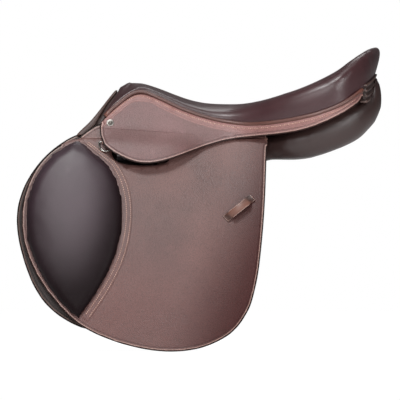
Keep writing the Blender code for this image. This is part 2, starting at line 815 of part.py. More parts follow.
# Knee pad: a firm stuffed pad on the flap, rolled over at its edge
pad_right = mm([
    (-221, 35.5), (-203, 20.8), (-187, 7.2), (-171, -7.2), (-158.5, -30.4), (-151, -57.6), (-149, -86.4),
    (-152, -118), (-160, -150), (-174, -182), (-191, -211), (-209.5, -238), (-220.5, -253),
])
pad_left = mm([
    (-220.5, -253), (-232, -245), (-254.5, -222), (-273.5, -197), (-291, -166), (-303, -134),
    (-308, -94), (-304, -57.6), (-294.5, -30.4), (-281.5, -8), (-264, 12), (-235, 31), (-221, 35.5),
])
PAD_EDGE = 0.006
PAD_CROWN = 0.015
PAD_ROLL = 0.022


def knee_pad():
    look = (BROWN, 0.45)
    outline = outline_of([pad_right, pad_left], 0.024)

    def face(x, z):
        depth, inside = distance_to(outline, x, z)
        share = min(depth / PAD_ROLL, 1.0) if inside else 0.0
        height = PAD_EDGE + (PAD_CROWN - PAD_EDGE) * math.sqrt(1.0 - (1.0 - share) ** 2)
        return barrel(x, z) + SLIT * 1.15 + height * 1.1

    def back(x, z):
        return barrel(x, z) + SLIT * 1.15

    left = between("knee_pad_left", outline, face, back, 0.024, look, rings=(0.0035, 0.011))
    set_origin(left, FOLD_POINT)
    mirrored(left, look)


knee_pad()

# Sweat flap on the panel, and the stuffed panel below it
sweat_front = mm([
    (-223, 43), (-237, 37), (-251, 28), (-267, 16), (-283, 0), (-299, -21.6), (-310.4, -43), (-319, -70),
    (-321, -94), (-316, -134), (-307, -166), (-294.5, -198), (-277, -225.6), (-256, -245), (-235, -258),
    (-212, -268.5),
])
sweat_low = mm([
    (-212, -268.5), (-180, -270), (-130, -283), (-75, -289), (-30, -283), (10, -266), (38, -230),
])
sweat_rear = mm([(38, -230), (54, -170), (62, -100), (68, -30), (72, 28)])
SWEAT_TOP = 0.029


def sweat_flap():
    look = (DARK, 0.5)
    top = [[(0.072, SWEAT_TOP), (-0.196, SWEAT_TOP)], [(-0.196, SWEAT_TOP), (-0.206, 0.032), (-0.223, 0.043)]]
    rear = sweat_rear[:-1] + [(0.072, SWEAT_TOP)]
    outline = outline_of([sweat_front, sweat_low, rear] + top, 0.026)
    left = between("sweat_flap_left", outline, sweat_face, inset(sweat_face, SWEAT_LEATHER), 0.034, look)
    mirrored(left, look)


def under_sweat(x, z):
    return inset(sweat_face, SWEAT_LEATHER)(x, z) - SLIT * 3.2


LOWER_EDGE = 0.004
LOWER_CROWN = 0.014
LOWER_ROLL = 0.020


def lower_panel():
    """The panel's fore part, which runs down under the sweat flap to hold the knee roll."""
    look = (DARK, 0.5)
    rim = mm([
        (-222, 26), (-250, 12), (-275, -8), (-295, -38), (-307, -72), (-308, -105), (-300, -145),
        (-283, -185), (-258, -220), (-230, -240), (-200, -242), (-168, -222), (-138, -175), (-112, -105),
        (-98, -50), (-128, -40), (-178, -38), (-189, -6), (-204, 16),
    ])
    outline = [Vector(p) for p in curve_through(rim, 0.028, closed=True)]

    def inner(x, z):
        depth, inside = distance_to(outline, x, z)
        share = min(depth / LOWER_ROLL, 1.0) if inside else 0.0
        height = LOWER_EDGE + (LOWER_CROWN - LOWER_EDGE) * math.sqrt(1.0 - (1.0 - share) ** 2)
        return under_sweat(x, z) - height

    left = between("lower_panel_left", outline, under_sweat, inner, 0.034, look, rings=(0.008,))
    mirrored(left, look)


sweat_flap()
lower_panel()


# Panels under the tree, each a stuffed bag with a rounded section
def section(x, breadth, height, length, depth, lean):
    """A panel section: a rounded oblong whose long side leans down and outwards."""
    turn = math.radians(lean)
    ring = []
    for k in range(14):
        angle = 2.0 * math.pi * k / 14
        c, s = math.cos(angle), math.sin(angle)
        u = math.copysign(abs(c) ** 0.75, c) * length * MM
        v = math.copysign(abs(s) ** 0.75, s) * depth * MM
        across = breadth * MM + u * math.cos(turn) + v * math.sin(turn)
        ring.append(Vector((x * MM, -across, height * MM - u * math.sin(turn) + v * math.cos(turn))))
    return ring


PANEL_STATIONS = [
    (-171, 62, 20, 34, 6, 64), (-162, 66, 17, 42, 10, 64), (-150, 68, 15, 47, 12, 64),
    (-100, 70, 14, 47, 13, 62), (-50, 68, 15, 42, 15, 55), (0, 62, 20, 38, 17, 42),
    (50, 62, 24, 36, 20, 28), (80, 64, 27, 38, 23, 20), (112, 72, 30, 40, 28, 14),
    (150, 76, 37, 45, 33, 10), (200, 74, 54, 42, 34, 6), (230, 69, 68, 36, 33, 2), (247, 64, 80, 28, 27, 0),
    (254, 62, 92, 24, 33, 0), (260, 61, 99, 19, 27, 0), (265, 60, 102, 12, 18, 0), (268, 60, 103, 5, 8, 0),
]


def panel():
    """Forward of the flap's rear edge the panel is drawn in until it lies inside the sweat flap."""
    look = (BROWN, 0.45)
    rings = []
    for station in PANEL_STATIONS:
        ring = section(*station)
        if station[0] < 90:
            over = max(-p.y - (under_sweat(p.x, p.z) - SLIT) for p in ring)
            ring = [p + Vector((0.0, over, 0.0)) for p in ring]
        rings.append(ring)
    fine = []
    for i, ring in enumerate(rings[:-1]):
        fine.append(ring)
        before = rings[max(i - 1, 0)]
        after = rings[min(i + 2, len(rings) - 1)]
        four = zip(before, ring, rings[i + 1], after)
        fine.append([(b + c) * 0.5625 - (a + d) * 0.0625 for a, b, c, d in four])
    fine.append(rings[-1])
    left = loft("panel_left", fine, look)
    mirrored(left, look)


panel()


def side_panel_tree():
    work = bmesh.new()
    work.from_mesh(bpy.data.objects["panel_left"].data)
    tree = BVHTree.FromBMesh(work)
    work.free()
    return tree


PANEL_TREE = side_panel_tree()


def panel_top(x, y):
    """Height of the panel's upper face, or nothing beside the panel."""
    hit = PANEL_TREE.ray_cast(Vector((x, -abs(y), 0.3)), Vector((0.0, 0.0, -1.0)))[0]
    return hit.z if hit else None


def gullet_lining():
    """A lining that spans the channel and lies on the inner tops of both panels."""
    rings = []
    for x in [value * MM for value in range(-78, 231, 22)]:
        edge = 0.02
        while panel_top(x - 0.004, edge) is None or panel_top(x + 0.004, edge) is None:
            edge += 0.001
        seat_y = (edge + 0.003, edge + 0.010)
        low = max(panel_top(x + s, y) for s in (-0.004, 0.0, 0.004) for y in seat_y) + SLIT * 2
        under = []
        for y in (-seat_y[1], -seat_y[0], -edge / 2, 0.0, edge / 2, seat_y[0], seat_y[1]):
            lift = 0.003 * (1.0 - (y / seat_y[0]) ** 2) if abs(y) < seat_y[0] else 0.0
            under.append(Vector((x, y, low + lift)))
        rings.append(under + [p + Vector((0.0, 0.0, LINING_LEATHER)) for p in reversed(under)])
    loft("gullet_lining", rings, (DARK, 0.6))


gullet_lining()

# Facings that close the head in front and the cantle behind
HEAD_FACING = mm([
    (-163, -160.2, 0, 114.5), (-167, -163, 28, 110), (-174, -170, 46, 101), (-182, -178, 58.5, 90.5),
    (-190, -184, 68, 80), (-198, -190, 75, 70), (-206, -195, 79.2, 61), (-214, -200, 82.2, 54),
    (-220, -206, 84.5, 48.5), (-221.5, -207.5, 85.0, 46.6),
])
FACING_TUCKS = mm([
    (-154.5, 114.5), (-163, 101), (-168, 90.5), (-173, 80), (-177, 70), (-184, 54), (-189, 48.5), (-190.5, 46.6),
])
FACING_DEPTH = 0.018
CANTLE_FACING_HANG = 0.011
CANTLE_FACING_SIDES = 0.026
CANTLE_FACING_ENDS = (0.228, 0.119)


def head_facing():
    """The front of the pommel, with a rear lip tucked under the cover and the skirts."""
    path = curve_through([Vector((p[0], -p[2], p[3])) for p in HEAD_FACING[::-1]], 0.016)
    back = Profile([(-p[3] / MM, p[1] / MM) for p in HEAD_FACING])
    lip = Profile([(-z / MM, x / MM) for x, z in FACING_TUCKS])
    path = half_and_twin(path)
    under = COVER_LEATHER + 1.6 * SLIT
    rings = []
    for i, point in enumerate(path):
        along = path[min(i + 1, len(path) - 1)] - path[max(i - 1, 0)]
        inward = Vector((0.0, along.z, -along.y)).normalized()
        rear = Vector((back(-point.z), point.y, point.z))
        tuck = Vector((lip(-point.z), point.y, point.z)) + inward * under
        rings.append([
            point, rear, rear + inward * under, tuck, tuck + inward * FACING_LEATHER,
            rear + inward * (under + FACING_LEATHER), rear + inward * FACING_DEPTH, point + inward * FACING_DEPTH,
        ])
    loft("head_facing", rings, (DARK, 0.5))


def facing_drop(near, far, after):
    """How far the facing hangs at a point: short over the channel, down to the panels beside it."""
    sides = CANTLE_FACING_SIDES - CANTLE_FACING_HANG
    hang = CANTLE_FACING_HANG + sides * smooth((abs(near.y) - 0.034) / 0.03)
    spots = [near, far, (near + after) / 2, (far + after) / 2]
    tops = [panel_top(p.x + step, p.y) for p in spots for step in (-0.003, 0.0, 0.003)]
    rest = max((top for top in tops if top is not None), default=-1.0)
    return max(0.002, min(hang, near.z - rest - 3 * SLIT))


def cantle_facing():
    """A strip round the cantle, tucked inside the cover's lower edge and hanging to the panels."""
    from_x, from_z = CANTLE_FACING_ENDS
    edges = [ray[-1] for ray in RAYS if ray[-1].x > from_x and ray[-1].z > from_z]
    path = half_and_twin([Vector((p.x, -p.y, p.z)) for p in edges])
    rings = []
    for i, point in enumerate(path):
        along = path[min(i + 1, len(path) - 1)] - path[max(i - 1, 0)]
        out = Vector((along.y, -along.x, 0.0)).normalized()
        if out.dot(point - Vector((0.15, 0.0, point.z))) < 0:
            out = -out
        near = point - out * (COVER_LEATHER + 1.6 * SLIT)
        far = near - out * FACING_LEATHER
        other = path[i + 1] if i + 1 < len(path) else path[i - 1]
        top, low = Vector((0.0, 0.0, 0.001)), Vector((0.0, 0.0, -facing_drop(near, far, other)))
        rings.append([near + low, near + top, far + top, far + low])
    loft("cantle_facing", rings, (DARK, 0.5))


head_facing()
cantle_facing()

# Girth straps and the guard that slides on them
STRAP_PIVOT = (STRAP_X[1], 0.043)


def strap_point():
    return Vector((STRAP_PIVOT[0], -(barrel(*STRAP_PIVOT) - STRAP_INSET), STRAP_PIVOT[1]))


def girth_straps():
    look = (BROWN, 0.5)
    outer = inset(barrel, STRAP_INSET / 1.12)
    inner = inset(barrel, STRAP_INSET / 1.12 + STRAP_LEATHER)
    for number, middle in enumerate(STRAP_X, 1):
        rings = []
        steps = 13
        for i in range(steps + 1):
            z = STRAP_TOP + (STRAP_END - STRAP_TOP) * i / steps
            half = STRAP_WIDTH / 2 if i < steps else STRAP_WIDTH / 4
            a, b = middle - half, middle + half
            rings.append([Vector((a, -outer(a, z), z)), Vector((b, -outer(b, z), z)),
                          Vector((b, -inner(b, z), z)), Vector((a, -inner(a, z), z))])
        left = loft(f"girth_strap_{number}_left", rings, look)
        set_origin(left, strap_point())
        mirrored(left, look)


GUARD_BOX = mm([(-102, -150), (10, -40)])
GUARD_CROWN = 0.0008


def buckle_guard():
    look = (DARK, 0.55)
    (x0, z0), (x1, z1) = GUARD_BOX
    r = 0.012
    corners = [(x0 + r, z0), (x1 - r, z0), (x1, z0 + r), (x1, z1 - r)]
    corners += [(x1 - r, z1), (x0 + r, z1), (x0, z1 - r), (x0, z0 + r)]
    runs = [[a, b] for a, b in zip(corners, corners[1:] + corners[:1])]
    depth = FLAP_LEATHER + GUARD_ROOM / 1.12
    middle = ((x0 + x1) / 2, (z0 + z1) / 2)

    def inner(x, z):
        crown = GUARD_CROWN * (1.0 - abs(z - middle[1]) * 2.0 / (z1 - z0))
        return inset(barrel, depth + GUARD_LEATHER + crown)(x, z)

    left = between("buckle_guard_left", outline_of(runs, 0.03), inset(barrel, depth), inner, 0.03, look)
    set_origin(left, (middle[0], -inset(barrel, depth)(*middle), middle[1]))
    mirrored(left, look)


girth_straps()
buckle_guard()

# Stirrup bar: a riveted plate, a blade that stands out through the flap's cut, and a hinged catch
BAR_FRAME = frame_on(barrel, BAR_X, BAR_Z)
CATCH_PIVOT = (BAR_END + 0.004, 0.0)
CATCH_RADIUS = 0.0037
CATCH_REACH = 0.014
CATCH_LEVELS = (0.0060, 0.0090)
PLATE_LEVELS = (-0.0094, -0.0064)
PLATE_TOP = 0.052
RIVETS = ((-0.027, 0.034), (-0.027, 0.046))
RIVET_RADIUS = 0.002
NAIL_RADIUS = 0.0012
NAIL_FRAME = frame_on(skirt_face, *SADDLE_NAIL)
SHINE = (STEEL, 0.3, 1.0)


def both_sides(cutter):
    """The cutter's copy on the right-hand side."""
    twin = mirrored(cutter, SHINE)
    twin.name = cutter.name + "_right"
    return twin


def stirrup_bar():
    place = BAR_FRAME
    left = box_in("stirrup_bar_left", place, (BAR_FRONT, -0.004, PLATE_LEVELS[0]),
                  (BAR_END - 0.006, PLATE_TOP, PLATE_LEVELS[1]), SHINE)
    arm = box_in("bar_arm", place, (BAR_FRONT + 0.0005, -BAR_HALF * 0.9, PLATE_LEVELS[0] + 0.001),
                 (BAR_FRONT + 0.009, BAR_HALF * 0.9, BAR_FACE - 0.0005), SHINE)
    blade = box_in("bar_blade", place, (BAR_FRONT, -BAR_HALF, BAR_FACE - BAR_THICK),
                   (BAR_END, BAR_HALF, BAR_FACE), SHINE)
    for helper in (arm, blade):
        edge = helper.modifiers.new("rounding", "BEVEL")
        edge.width = 0.0009
        edge.segments = 2
        carve(left, helper, "UNION")
    lug = box_in("bar_lug", place, (BAR_END - 0.003, -CATCH_RADIUS, CATCH_LEVELS[1] + SLIT),
                 (BAR_END + 0.008, CATCH_RADIUS, BAR_FACE - 0.0001), SHINE)
    low = CATCH_LEVELS[0]
    pin = rod_in("bar_pin", place, CATCH_PIVOT, PIN_RADIUS, low - 0.0010, BAR_FACE - 0.0006, SHINE)
    head = rod_in("bar_pin_head", place, CATCH_PIVOT, PIN_RADIUS * 1.8, low - 0.0014, low - SLIT, SHINE)
    for helper in (lug, pin, head):
        carve(left, helper, "UNION")
    for number, spot in enumerate(RIVETS):
        hole = rod_in(f"rivet_hole_{number}", place, spot, RIVET_RADIUS + SLIT, -0.012, -0.004, SHINE)
        carve(left, hole)
    settle(left)
    mirrored(left, SHINE)


def catch():
    place = BAR_FRAME
    low, high = CATCH_LEVELS
    left = rod_in("catch_left", place, CATCH_PIVOT, CATCH_RADIUS, low, high, SHINE, sides=20)
    u = CATCH_PIVOT[0]
    carve(left, box_in("catch_body", place, (u, -CATCH_RADIUS * 0.92, low + 0.0001),
                       (u + CATCH_REACH, CATCH_RADIUS * 0.92, high - 0.0001), SHINE), "UNION")
    tip = rod_in("catch_tip", place, (u + CATCH_REACH, 0.0008), CATCH_RADIUS, low, high, SHINE)
    hole = rod_in("catch_hole", place, CATCH_PIVOT, PIN_RADIUS + SLIT, low - 0.001, high + 0.001, SHINE)
    carve(left, tip, "UNION")
    carve(left, hole)
    settle(left)
    set_origin(left, place @ Vector((*CATCH_PIVOT, (low + high) / 2)))
    mirrored(left, SHINE)


def bar_rivets():
    """Rivets that hold the bar's plate to the head, and their holes in the head."""
    for number, spot in enumerate(RIVETS, 1):
        left = rod_in(f"bar_rivet_{number}_left", BAR_FRAME, spot, RIVET_RADIUS, -0.0172,
                      PLATE_LEVELS[1] + 0.0005, SHINE, sides=12)
        head = rod_in("rivet_head", BAR_FRAME, spot, RIVET_RADIUS * 1.9, PLATE_LEVELS[1] + SLIT,
                      PLATE_LEVELS[1] + 0.0013, SHINE, sides=12)
        carve(left, head, "UNION")
        settle(left)
        mirrored(left, SHINE)
        wide = RIVET_RADIUS + SLIT
        hole = rod_in(f"head_hole_{number}", BAR_FRAME, spot, wide, -0.024, -0.004, SHINE, sides=12)
        twin = both_sides(hole)
        carve(tree_head, hole)
        carve(tree_head, twin)


def saddle_nail():
    """A domed nail through the skirt into the head."""
    rings = []
    for radius, level in ((NAIL_RADIUS, -0.0185), (NAIL_RADIUS, SLIT), (0.006, SLIT), (0.006, 0.0012),
                          (0.0053, 0.0019), (0.0046, 0.0021), (0.0038, 0.0031), (0.0016, 0.0038)):
        ring = []
        for k in range(16):
            turn = 2.0 * math.pi * k / 16
            ring.append(NAIL_FRAME @ Vector((radius * math.cos(turn), radius * math.sin(turn), level)))
        rings.append(ring)
    left = loft("saddle_nail_left", rings, SHINE)
    mirrored(left, SHINE)
    hole = rod_in("nail_hole", NAIL_FRAME, (0.0, 0.0), NAIL_RADIUS + SLIT, -0.022, 0.004, SHINE, sides=12)
    twin = both_sides(hole)
    for side, cutter in (("left", hole), ("right", twin)):
        carve(bpy.data.objects[f"skirt_{side}"], cutter)
        carve(bpy.data.objects[f"flap_top_{side}"], cutter)
        carve(tree_head, cutter)


stirrup_bar()
catch()
bar_rivets()
saddle_nail()

# Dee in its leather tab on the flap's front, and the stirrup-leather keeper behind
DEE_FRAME = frame_on(barrel, -0.178, 0.0225)
DEE_WIRE = 0.0015
DEE_LEVEL = 0.0034
DEE_BAR_V = 0.0075
DEE_HALF = 0.0112
DEE_DROP = 0.0168


def dee():
    path = [Vector((u, DEE_BAR_V, DEE_LEVEL)) for u in (-DEE_HALF * 0.86, 0.0, DEE_HALF * 0.86)]
    for k in range(13):
        turn = math.pi * k / 12
        v = DEE_BAR_V - 0.002 - (DEE_DROP - 0.002) * math.sin(turn)
        path.append(Vector((DEE_HALF * math.cos(turn), v, DEE_LEVEL)))
    rings = []
    count = len(path)
    for i, point in enumerate(path):
        along = (path[(i + 1) % count] - path[i - 1]).normalized()
        across = Vector((along.y, -along.x, 0.0))
        ring = []
        for k in range(8):
            turn = 2.0 * math.pi * k / 8
            offset = across * (DEE_WIRE * math.cos(turn)) + Vector((0, 0, DEE_WIRE * math.sin(turn)))
            ring.append(DEE_FRAME @ (point + offset))
        rings.append(ring)
    left = loft("dee_left", rings, SHINE, closed=True)
    set_origin(left, DEE_FRAME @ Vector((0.0, DEE_BAR_V, DEE_LEVEL)))
    mirrored(left, SHINE)


def strip_across(name, place, contour, half, look):
    """A contour in the v and w plane, drawn out to both sides along u."""
    rings = [[place @ Vector((u, v, w)) for v, w in contour] for u in (-half, half)]
    return loft(name, rings, look)


TAB_TOP = 0.015
TAB_END = 0.0125
TAB_HALF = 0.0065
TAB_LEATHER = 0.0012


def dee_tab():
    """A strap stitched to the flap above the dee, down round the dee's bar and back up over itself."""
    look = (FLAP_BROWN, 0.5)
    bore = DEE_WIRE + SLIT
    reach = bore + TAB_LEATHER
    low = DEE_LEVEL - reach
    over = low + TAB_LEATHER + SLIT
    contour = [(TAB_TOP, low)]
    for k in range(9):
        turn = math.pi * (k / 8 - 0.5)
        contour.append((DEE_BAR_V - reach * math.cos(turn), DEE_LEVEL + reach * math.sin(turn)))
    contour += [(DEE_BAR_V + bore * 0.7, DEE_LEVEL + reach), (TAB_END, over + TAB_LEATHER), (TAB_END, over)]
    contour.append((DEE_BAR_V + bore * 0.55, DEE_LEVEL + bore))
    for k in range(9):
        turn = math.pi * (0.5 - k / 8)
        contour.append((DEE_BAR_V - bore * math.cos(turn), DEE_LEVEL + bore * math.sin(turn)))
    contour.append((TAB_TOP, low + TAB_LEATHER))
    left = strip_across("dee_tab_left", DEE_FRAME, contour, TAB_HALF, look)
    set_origin(left, FOLD_POINT)
    mirrored(left, look)


KEEPER_SPOT = (0.0352, -0.0752)
KEEPER_SLANT = 41.5
KEEPER_HALF_LENGTH = 0.028
KEEPER_HALF_WIDTH = 0.0065
KEEPER_ROOM = 0.0078
KEEPER_LEATHER = 0.0025


def keeper():
    """A leather loop on the flap, raised between its stitched feet."""
    look = (FLAP_BROWN, 0.5)
    slant = Matrix.Rotation(math.radians(KEEPER_SLANT - 90.0), 4, "Z")
    place = frame_on(barrel, *KEEPER_SPOT) @ slant
    low = [(KEEPER_HALF_LENGTH, SLIT), (0.0195, SLIT), (0.0155, KEEPER_ROOM)]
    low += [(-v, w) for v, w in reversed(low)]
    high = [(KEEPER_HALF_LENGTH, SLIT + KEEPER_LEATHER), (0.0212, SLIT + KEEPER_LEATHER),
            (0.0170, KEEPER_ROOM + KEEPER_LEATHER)]
    high += [(-v, w) for v, w in reversed(high)]
    rings = []
    for u in (-KEEPER_HALF_WIDTH, KEEPER_HALF_WIDTH):
        spots = [(place @ Vector((u, v, 0.0)), w) for v, w in low + high[::-1]]
        rings.append([barrel_point(spot.x, spot.z, w) for spot, w in spots])
    left = loft("keeper_left", rings, look)
    set_origin(left, FOLD_POINT)
    mirrored(left, look)


dee()
dee_tab()
keeper()
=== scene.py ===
import math

import bmesh
import bpy
from mathutils import Matrix, Vector
from mathutils.bvhtree import BVHTree
from mathutils.kdtree import KDTree


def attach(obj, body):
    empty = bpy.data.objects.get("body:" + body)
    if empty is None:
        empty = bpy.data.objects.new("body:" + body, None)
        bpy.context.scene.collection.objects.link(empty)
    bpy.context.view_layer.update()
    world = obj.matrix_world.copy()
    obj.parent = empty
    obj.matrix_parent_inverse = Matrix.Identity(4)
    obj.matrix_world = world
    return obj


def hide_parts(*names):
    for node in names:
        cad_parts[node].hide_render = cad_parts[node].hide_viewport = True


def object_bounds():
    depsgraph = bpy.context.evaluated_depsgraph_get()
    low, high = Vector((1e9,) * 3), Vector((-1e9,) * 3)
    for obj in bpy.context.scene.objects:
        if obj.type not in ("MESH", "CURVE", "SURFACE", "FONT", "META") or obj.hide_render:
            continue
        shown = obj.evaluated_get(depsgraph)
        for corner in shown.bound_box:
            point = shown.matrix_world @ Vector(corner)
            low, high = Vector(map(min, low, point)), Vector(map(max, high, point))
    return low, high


# English jumping saddle, dressed in leather, thread and metal. Metres, front along minus X.
# Left-hand pieces are made and then mirrored; minus Y is the side that the camera sees.
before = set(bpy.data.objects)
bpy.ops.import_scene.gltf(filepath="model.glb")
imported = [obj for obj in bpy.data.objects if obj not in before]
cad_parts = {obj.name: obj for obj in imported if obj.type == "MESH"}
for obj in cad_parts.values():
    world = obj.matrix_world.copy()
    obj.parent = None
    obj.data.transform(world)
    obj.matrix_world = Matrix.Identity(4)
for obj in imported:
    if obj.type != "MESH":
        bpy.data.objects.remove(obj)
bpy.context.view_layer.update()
MM = 0.001
SIDES = ("left", "right")


def mm(points):
    """Points given in millimetres, in metres."""
    return [tuple(value * MM for value in point) for point in points]


def linear(code):
    """A sRGB hex colour as the linear colour that a shader takes."""
    parts = [int(code[i:i + 2], 16) / 255.0 for i in (1, 3, 5)]
    return tuple(c / 12.92 if c <= 0.04045 else ((c + 0.055) / 1.055) ** 2.4 for c in parts) + (1.0,)


def take_up(obj):
    """Operators act on the selection, so each piece is taken up alone."""
    bpy.ops.object.select_all(action="DESELECT")
    obj.select_set(True)
    bpy.context.view_layer.objects.active = obj


def modify(obj, kind, **settings):
    """One modifier, applied."""
    take_up(obj)
    change = obj.modifiers.new(kind.lower(), kind)
    for key, value in settings.items():
        setattr(change, key, value)
    bpy.ops.object.modifier_apply(modifier=change.name)


def edit(obj, chosen, *steps, kind="FACE"):
    """Edit-mode operators on the faces, or edges, that chosen picks."""
    take_up(obj)
    bpy.ops.object.mode_set(mode="EDIT")
    bpy.ops.mesh.select_mode(type=kind)
    bpy.ops.mesh.select_all(action="DESELECT")
    bpy.ops.object.mode_set(mode="OBJECT")
    for item in obj.data.polygons if kind == "FACE" else obj.data.edges:
        item.select = chosen(item)
    bpy.ops.object.mode_set(mode="EDIT")
    for operator, settings in steps:
        operator(**settings)
    bpy.ops.object.mode_set(mode="OBJECT")


def shade(obj, degrees=40):
    """Smooth shading, broken at edges that turn by more degrees."""
    take_up(obj)
    bpy.ops.object.shade_smooth_by_angle(angle=math.radians(degrees))


def copied(node, name):
    """A new piece from a CAD node's solid, its loose triangles merged into a closed skin."""
    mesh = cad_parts[node].data.copy()
    mesh.name = name
    mesh.materials.clear()
    obj = bpy.data.objects.new(name, mesh)
    bpy.context.scene.collection.objects.link(obj)
    for layer in list(mesh.uv_layers):
        mesh.uv_layers.remove(layer)
    edit(obj, lambda face: True,
         (bpy.ops.mesh.remove_doubles, {"threshold": 0.00001}),
         (bpy.ops.mesh.normals_make_consistent, {"inside": False}))
    return obj


def normals_of(mesh):
    """Every point's normal, taken before any point moves."""
    return [vert.normal.copy() for vert in mesh.vertices]


def paired(obj):
    """Triangles joined to four-sided faces wherever two lie nearly flat together."""
    limits = {"face_threshold": math.radians(50), "shape_threshold": math.radians(60)}
    edit(obj, lambda face: True, (bpy.ops.mesh.tris_convert_to_quads, limits))


# Edges that turn by more degrees than this are kept sharp
SHARP_TURN = 55


def sharp_edges(mesh):
    """Edges at which a piece turns sharply, such as both corners of a cut wall."""
    beside = {}
    for face in mesh.polygons:
        for key in face.edge_keys:
            beside.setdefault(key, []).append(face.normal)
    return {key for key, found in beside.items()
            if len(found) == 2 and found[0].angle(found[1], 0.0) > math.radians(SHARP_TURN)}


def rounded(obj, levels, passes=0):
    """Subdivision that keeps sharp edges, drawn back to the points it starts from in some passes."""
    mesh = obj.data
    sharp = sharp_edges(mesh)
    crease = mesh.attributes.new("crease_edge", "FLOAT", "EDGE")
    for edge in mesh.edges:
        crease.data[edge.index].value = float(edge.key in sharp)
    goals = [vert.co.copy() for vert in mesh.vertices]
    take_up(obj)
    change = obj.modifiers.new("rounding", "SUBSURF")
    change.levels = change.render_levels = levels
    for step in range(passes):
        bpy.context.view_layer.update()
        shaped = obj.evaluated_get(bpy.context.evaluated_depsgraph_get()).data.vertices
        moves = [goal - shaped[i].co for i, goal in enumerate(goals)]
        for vert, move in zip(mesh.vertices, moves):
            vert.co += move
        mesh.update()
    bpy.ops.object.modifier_apply(modifier=change.name)


def twin_of(left):
    """The right-hand twin, mirrored in the middle plane, with its own mesh."""
    name = left.name.replace("_left", "_right")
    mesh = left.data.copy()
    mesh.name = name
    mesh.transform(Matrix.Scale(-1.0, 4, (0.0, 1.0, 0.0)))
    mesh.flip_normals()
    twin = bpy.data.objects.new(name, mesh)
    bpy.context.scene.collection.objects.link(twin)
    return twin


def seat_on(left, body, slot, *nodes):
    """The left piece and its twin, each riding on its body in place of its CAD nodes."""
    made = [left, twin_of(left)]
    for side, piece in zip(SIDES, made):
        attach(piece, body.replace("SIDE", side))
        if nodes:
            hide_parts(*[f"{node}_{side}" for node in nodes])
    return made


# The barrel surface on which both flaps lie, with the sizes that the CAD gives it
FLAP_TOP_Z = 0.066
FLAP_TOP_BREADTH = 0.083
FLAP_LEAN = 0.50
FLAP_CURL = 0.36
FRONT_WRAP = 0.8
FRONT_WRAP_X = -0.17
REAR_FLARE = 1.9
# The line on which the skirt's lobe folds, the x at which it turns down, and the height of the flap's fold
FOLD_FRONT = (-0.188, 0.0544)
FOLD_REAR = (0.0416, 0.0384)
FOLD_STOP = 0.030
FLAP_CUT_Z = 0.0369


def smooth(t):
    """A soft step from 0 to 1 as t goes from 0 to 1."""
    t = min(max(t, 0.0), 1.0)
    return t * t * (3.0 - 2.0 * t)


def barrel(x, z):
    """Half-breadth of the flap's outer face."""
    drop = FLAP_TOP_Z - z
    lean = FLAP_LEAN * drop - FLAP_CURL * max(drop, 0.0) ** 2
    wrap = FRONT_WRAP * max(0.0, FRONT_WRAP_X - x) ** 2
    return FLAP_TOP_BREADTH + lean - wrap + REAR_FLARE * max(0.0, x) ** 2


def fold_height(x):
    """Height of the lobe's fold over x."""
    share = (x - FOLD_FRONT[0]) / (FOLD_REAR[0] - FOLD_FRONT[0])
    return FOLD_FRONT[1] + (FOLD_REAR[1] - FOLD_FRONT[1]) * share


# From the flap's face to the skirt's: the skirt's leather, as it measures on the slant, and the room under it
SKIRT_LEATHER = 0.0035
SLANT = 1.15
SKIRT_ROOM = 0.0015
SKIRT_GAP = SKIRT_LEATHER * SLANT + SKIRT_ROOM
# How far the lobe stands off over the bar, which starts above the fold and is full below it
BAR_ROOM = 0.014
RISE_START = 0.008
RISE = 0.040
# Where the stand-off begins and ends along x, each with its run, and where nothing is left of it
STAND_FRONT = (-0.205, 0.03)
STAND_REAR = (-0.078, 0.07)
STAND_OFF_END = -0.008
# How near to a fold's line a point or an edge counts as on it
ON_LINE = 0.0008
ON_TURN = 0.0009
PAST_TURN = 0.001


def over_bar(x, z):
    """Half-breadth of the skirt's outer face where it stands off over the stirrup bar."""
    front = smooth((x - STAND_FRONT[0]) / STAND_FRONT[1])
    share = front * (1.0 - smooth((x - STAND_REAR[0]) / STAND_REAR[1]))
    return barrel(x, z) + SKIRT_GAP + BAR_ROOM * share * smooth((fold_height(x) + RISE_START - z) / RISE)


def on_skirt_fold(x, z):
    along = x < FOLD_STOP + PAST_TURN and abs(z - fold_height(x)) < ON_LINE
    down = abs(x - FOLD_STOP) < ON_TURN and z < fold_height(x) + PAST_TURN
    return along or down


def on_flap_fold(x, z):
    return abs(z - FLAP_CUT_Z) < ON_LINE


# Steps in which a curve is followed between two of its points
SPAN_STEPS = 12


def through(points, count):
    """A smooth line through points, as count + 1 points evenly spaced along it."""
    points = [Vector(p) for p in points]
    ends = [points[0] * 2 - points[1]] + points + [points[-1] * 2 - points[-2]]
    fine = []
    for a, b, c, d in zip(ends, ends[1:], ends[2:], ends[3:]):
        for k in range(SPAN_STEPS):
            t = k / SPAN_STEPS
            fine.append((b * 2 + (c - a) * t + (a * 2 - b * 5 + c * 4 - d) * t * t
                         + (b * 3 - a - c * 3 + d) * t ** 3) * 0.5)
    fine.append(points[-1])
    lengths = [0.0]
    for a, b in zip(fine, fine[1:]):
        lengths.append(lengths[-1] + (b - a).length)
    even = []
    at = 0
    for i in range(count + 1):
        want = lengths[-1] * i / count
        while at < len(fine) - 2 and lengths[at + 1] < want:
            at += 1
        share = (want - lengths[at]) / max(lengths[at + 1] - lengths[at], 1e-9)
        even.append(fine[at].lerp(fine[at + 1], share))
    return even


def beside(line, distance):
    """A line in x and z moved sideways, to its right as it runs, by a distance that may follow it."""
    moved = []
    for i, p in enumerate(line):
        along = (line[min(i + 1, len(line) - 1)] - line[max(i - 1, 0)]).normalized()
        far = distance(i / (len(line) - 1)) if callable(distance) else distance
        moved.append(p + Vector((-along.y, along.x)) * far)
    return moved


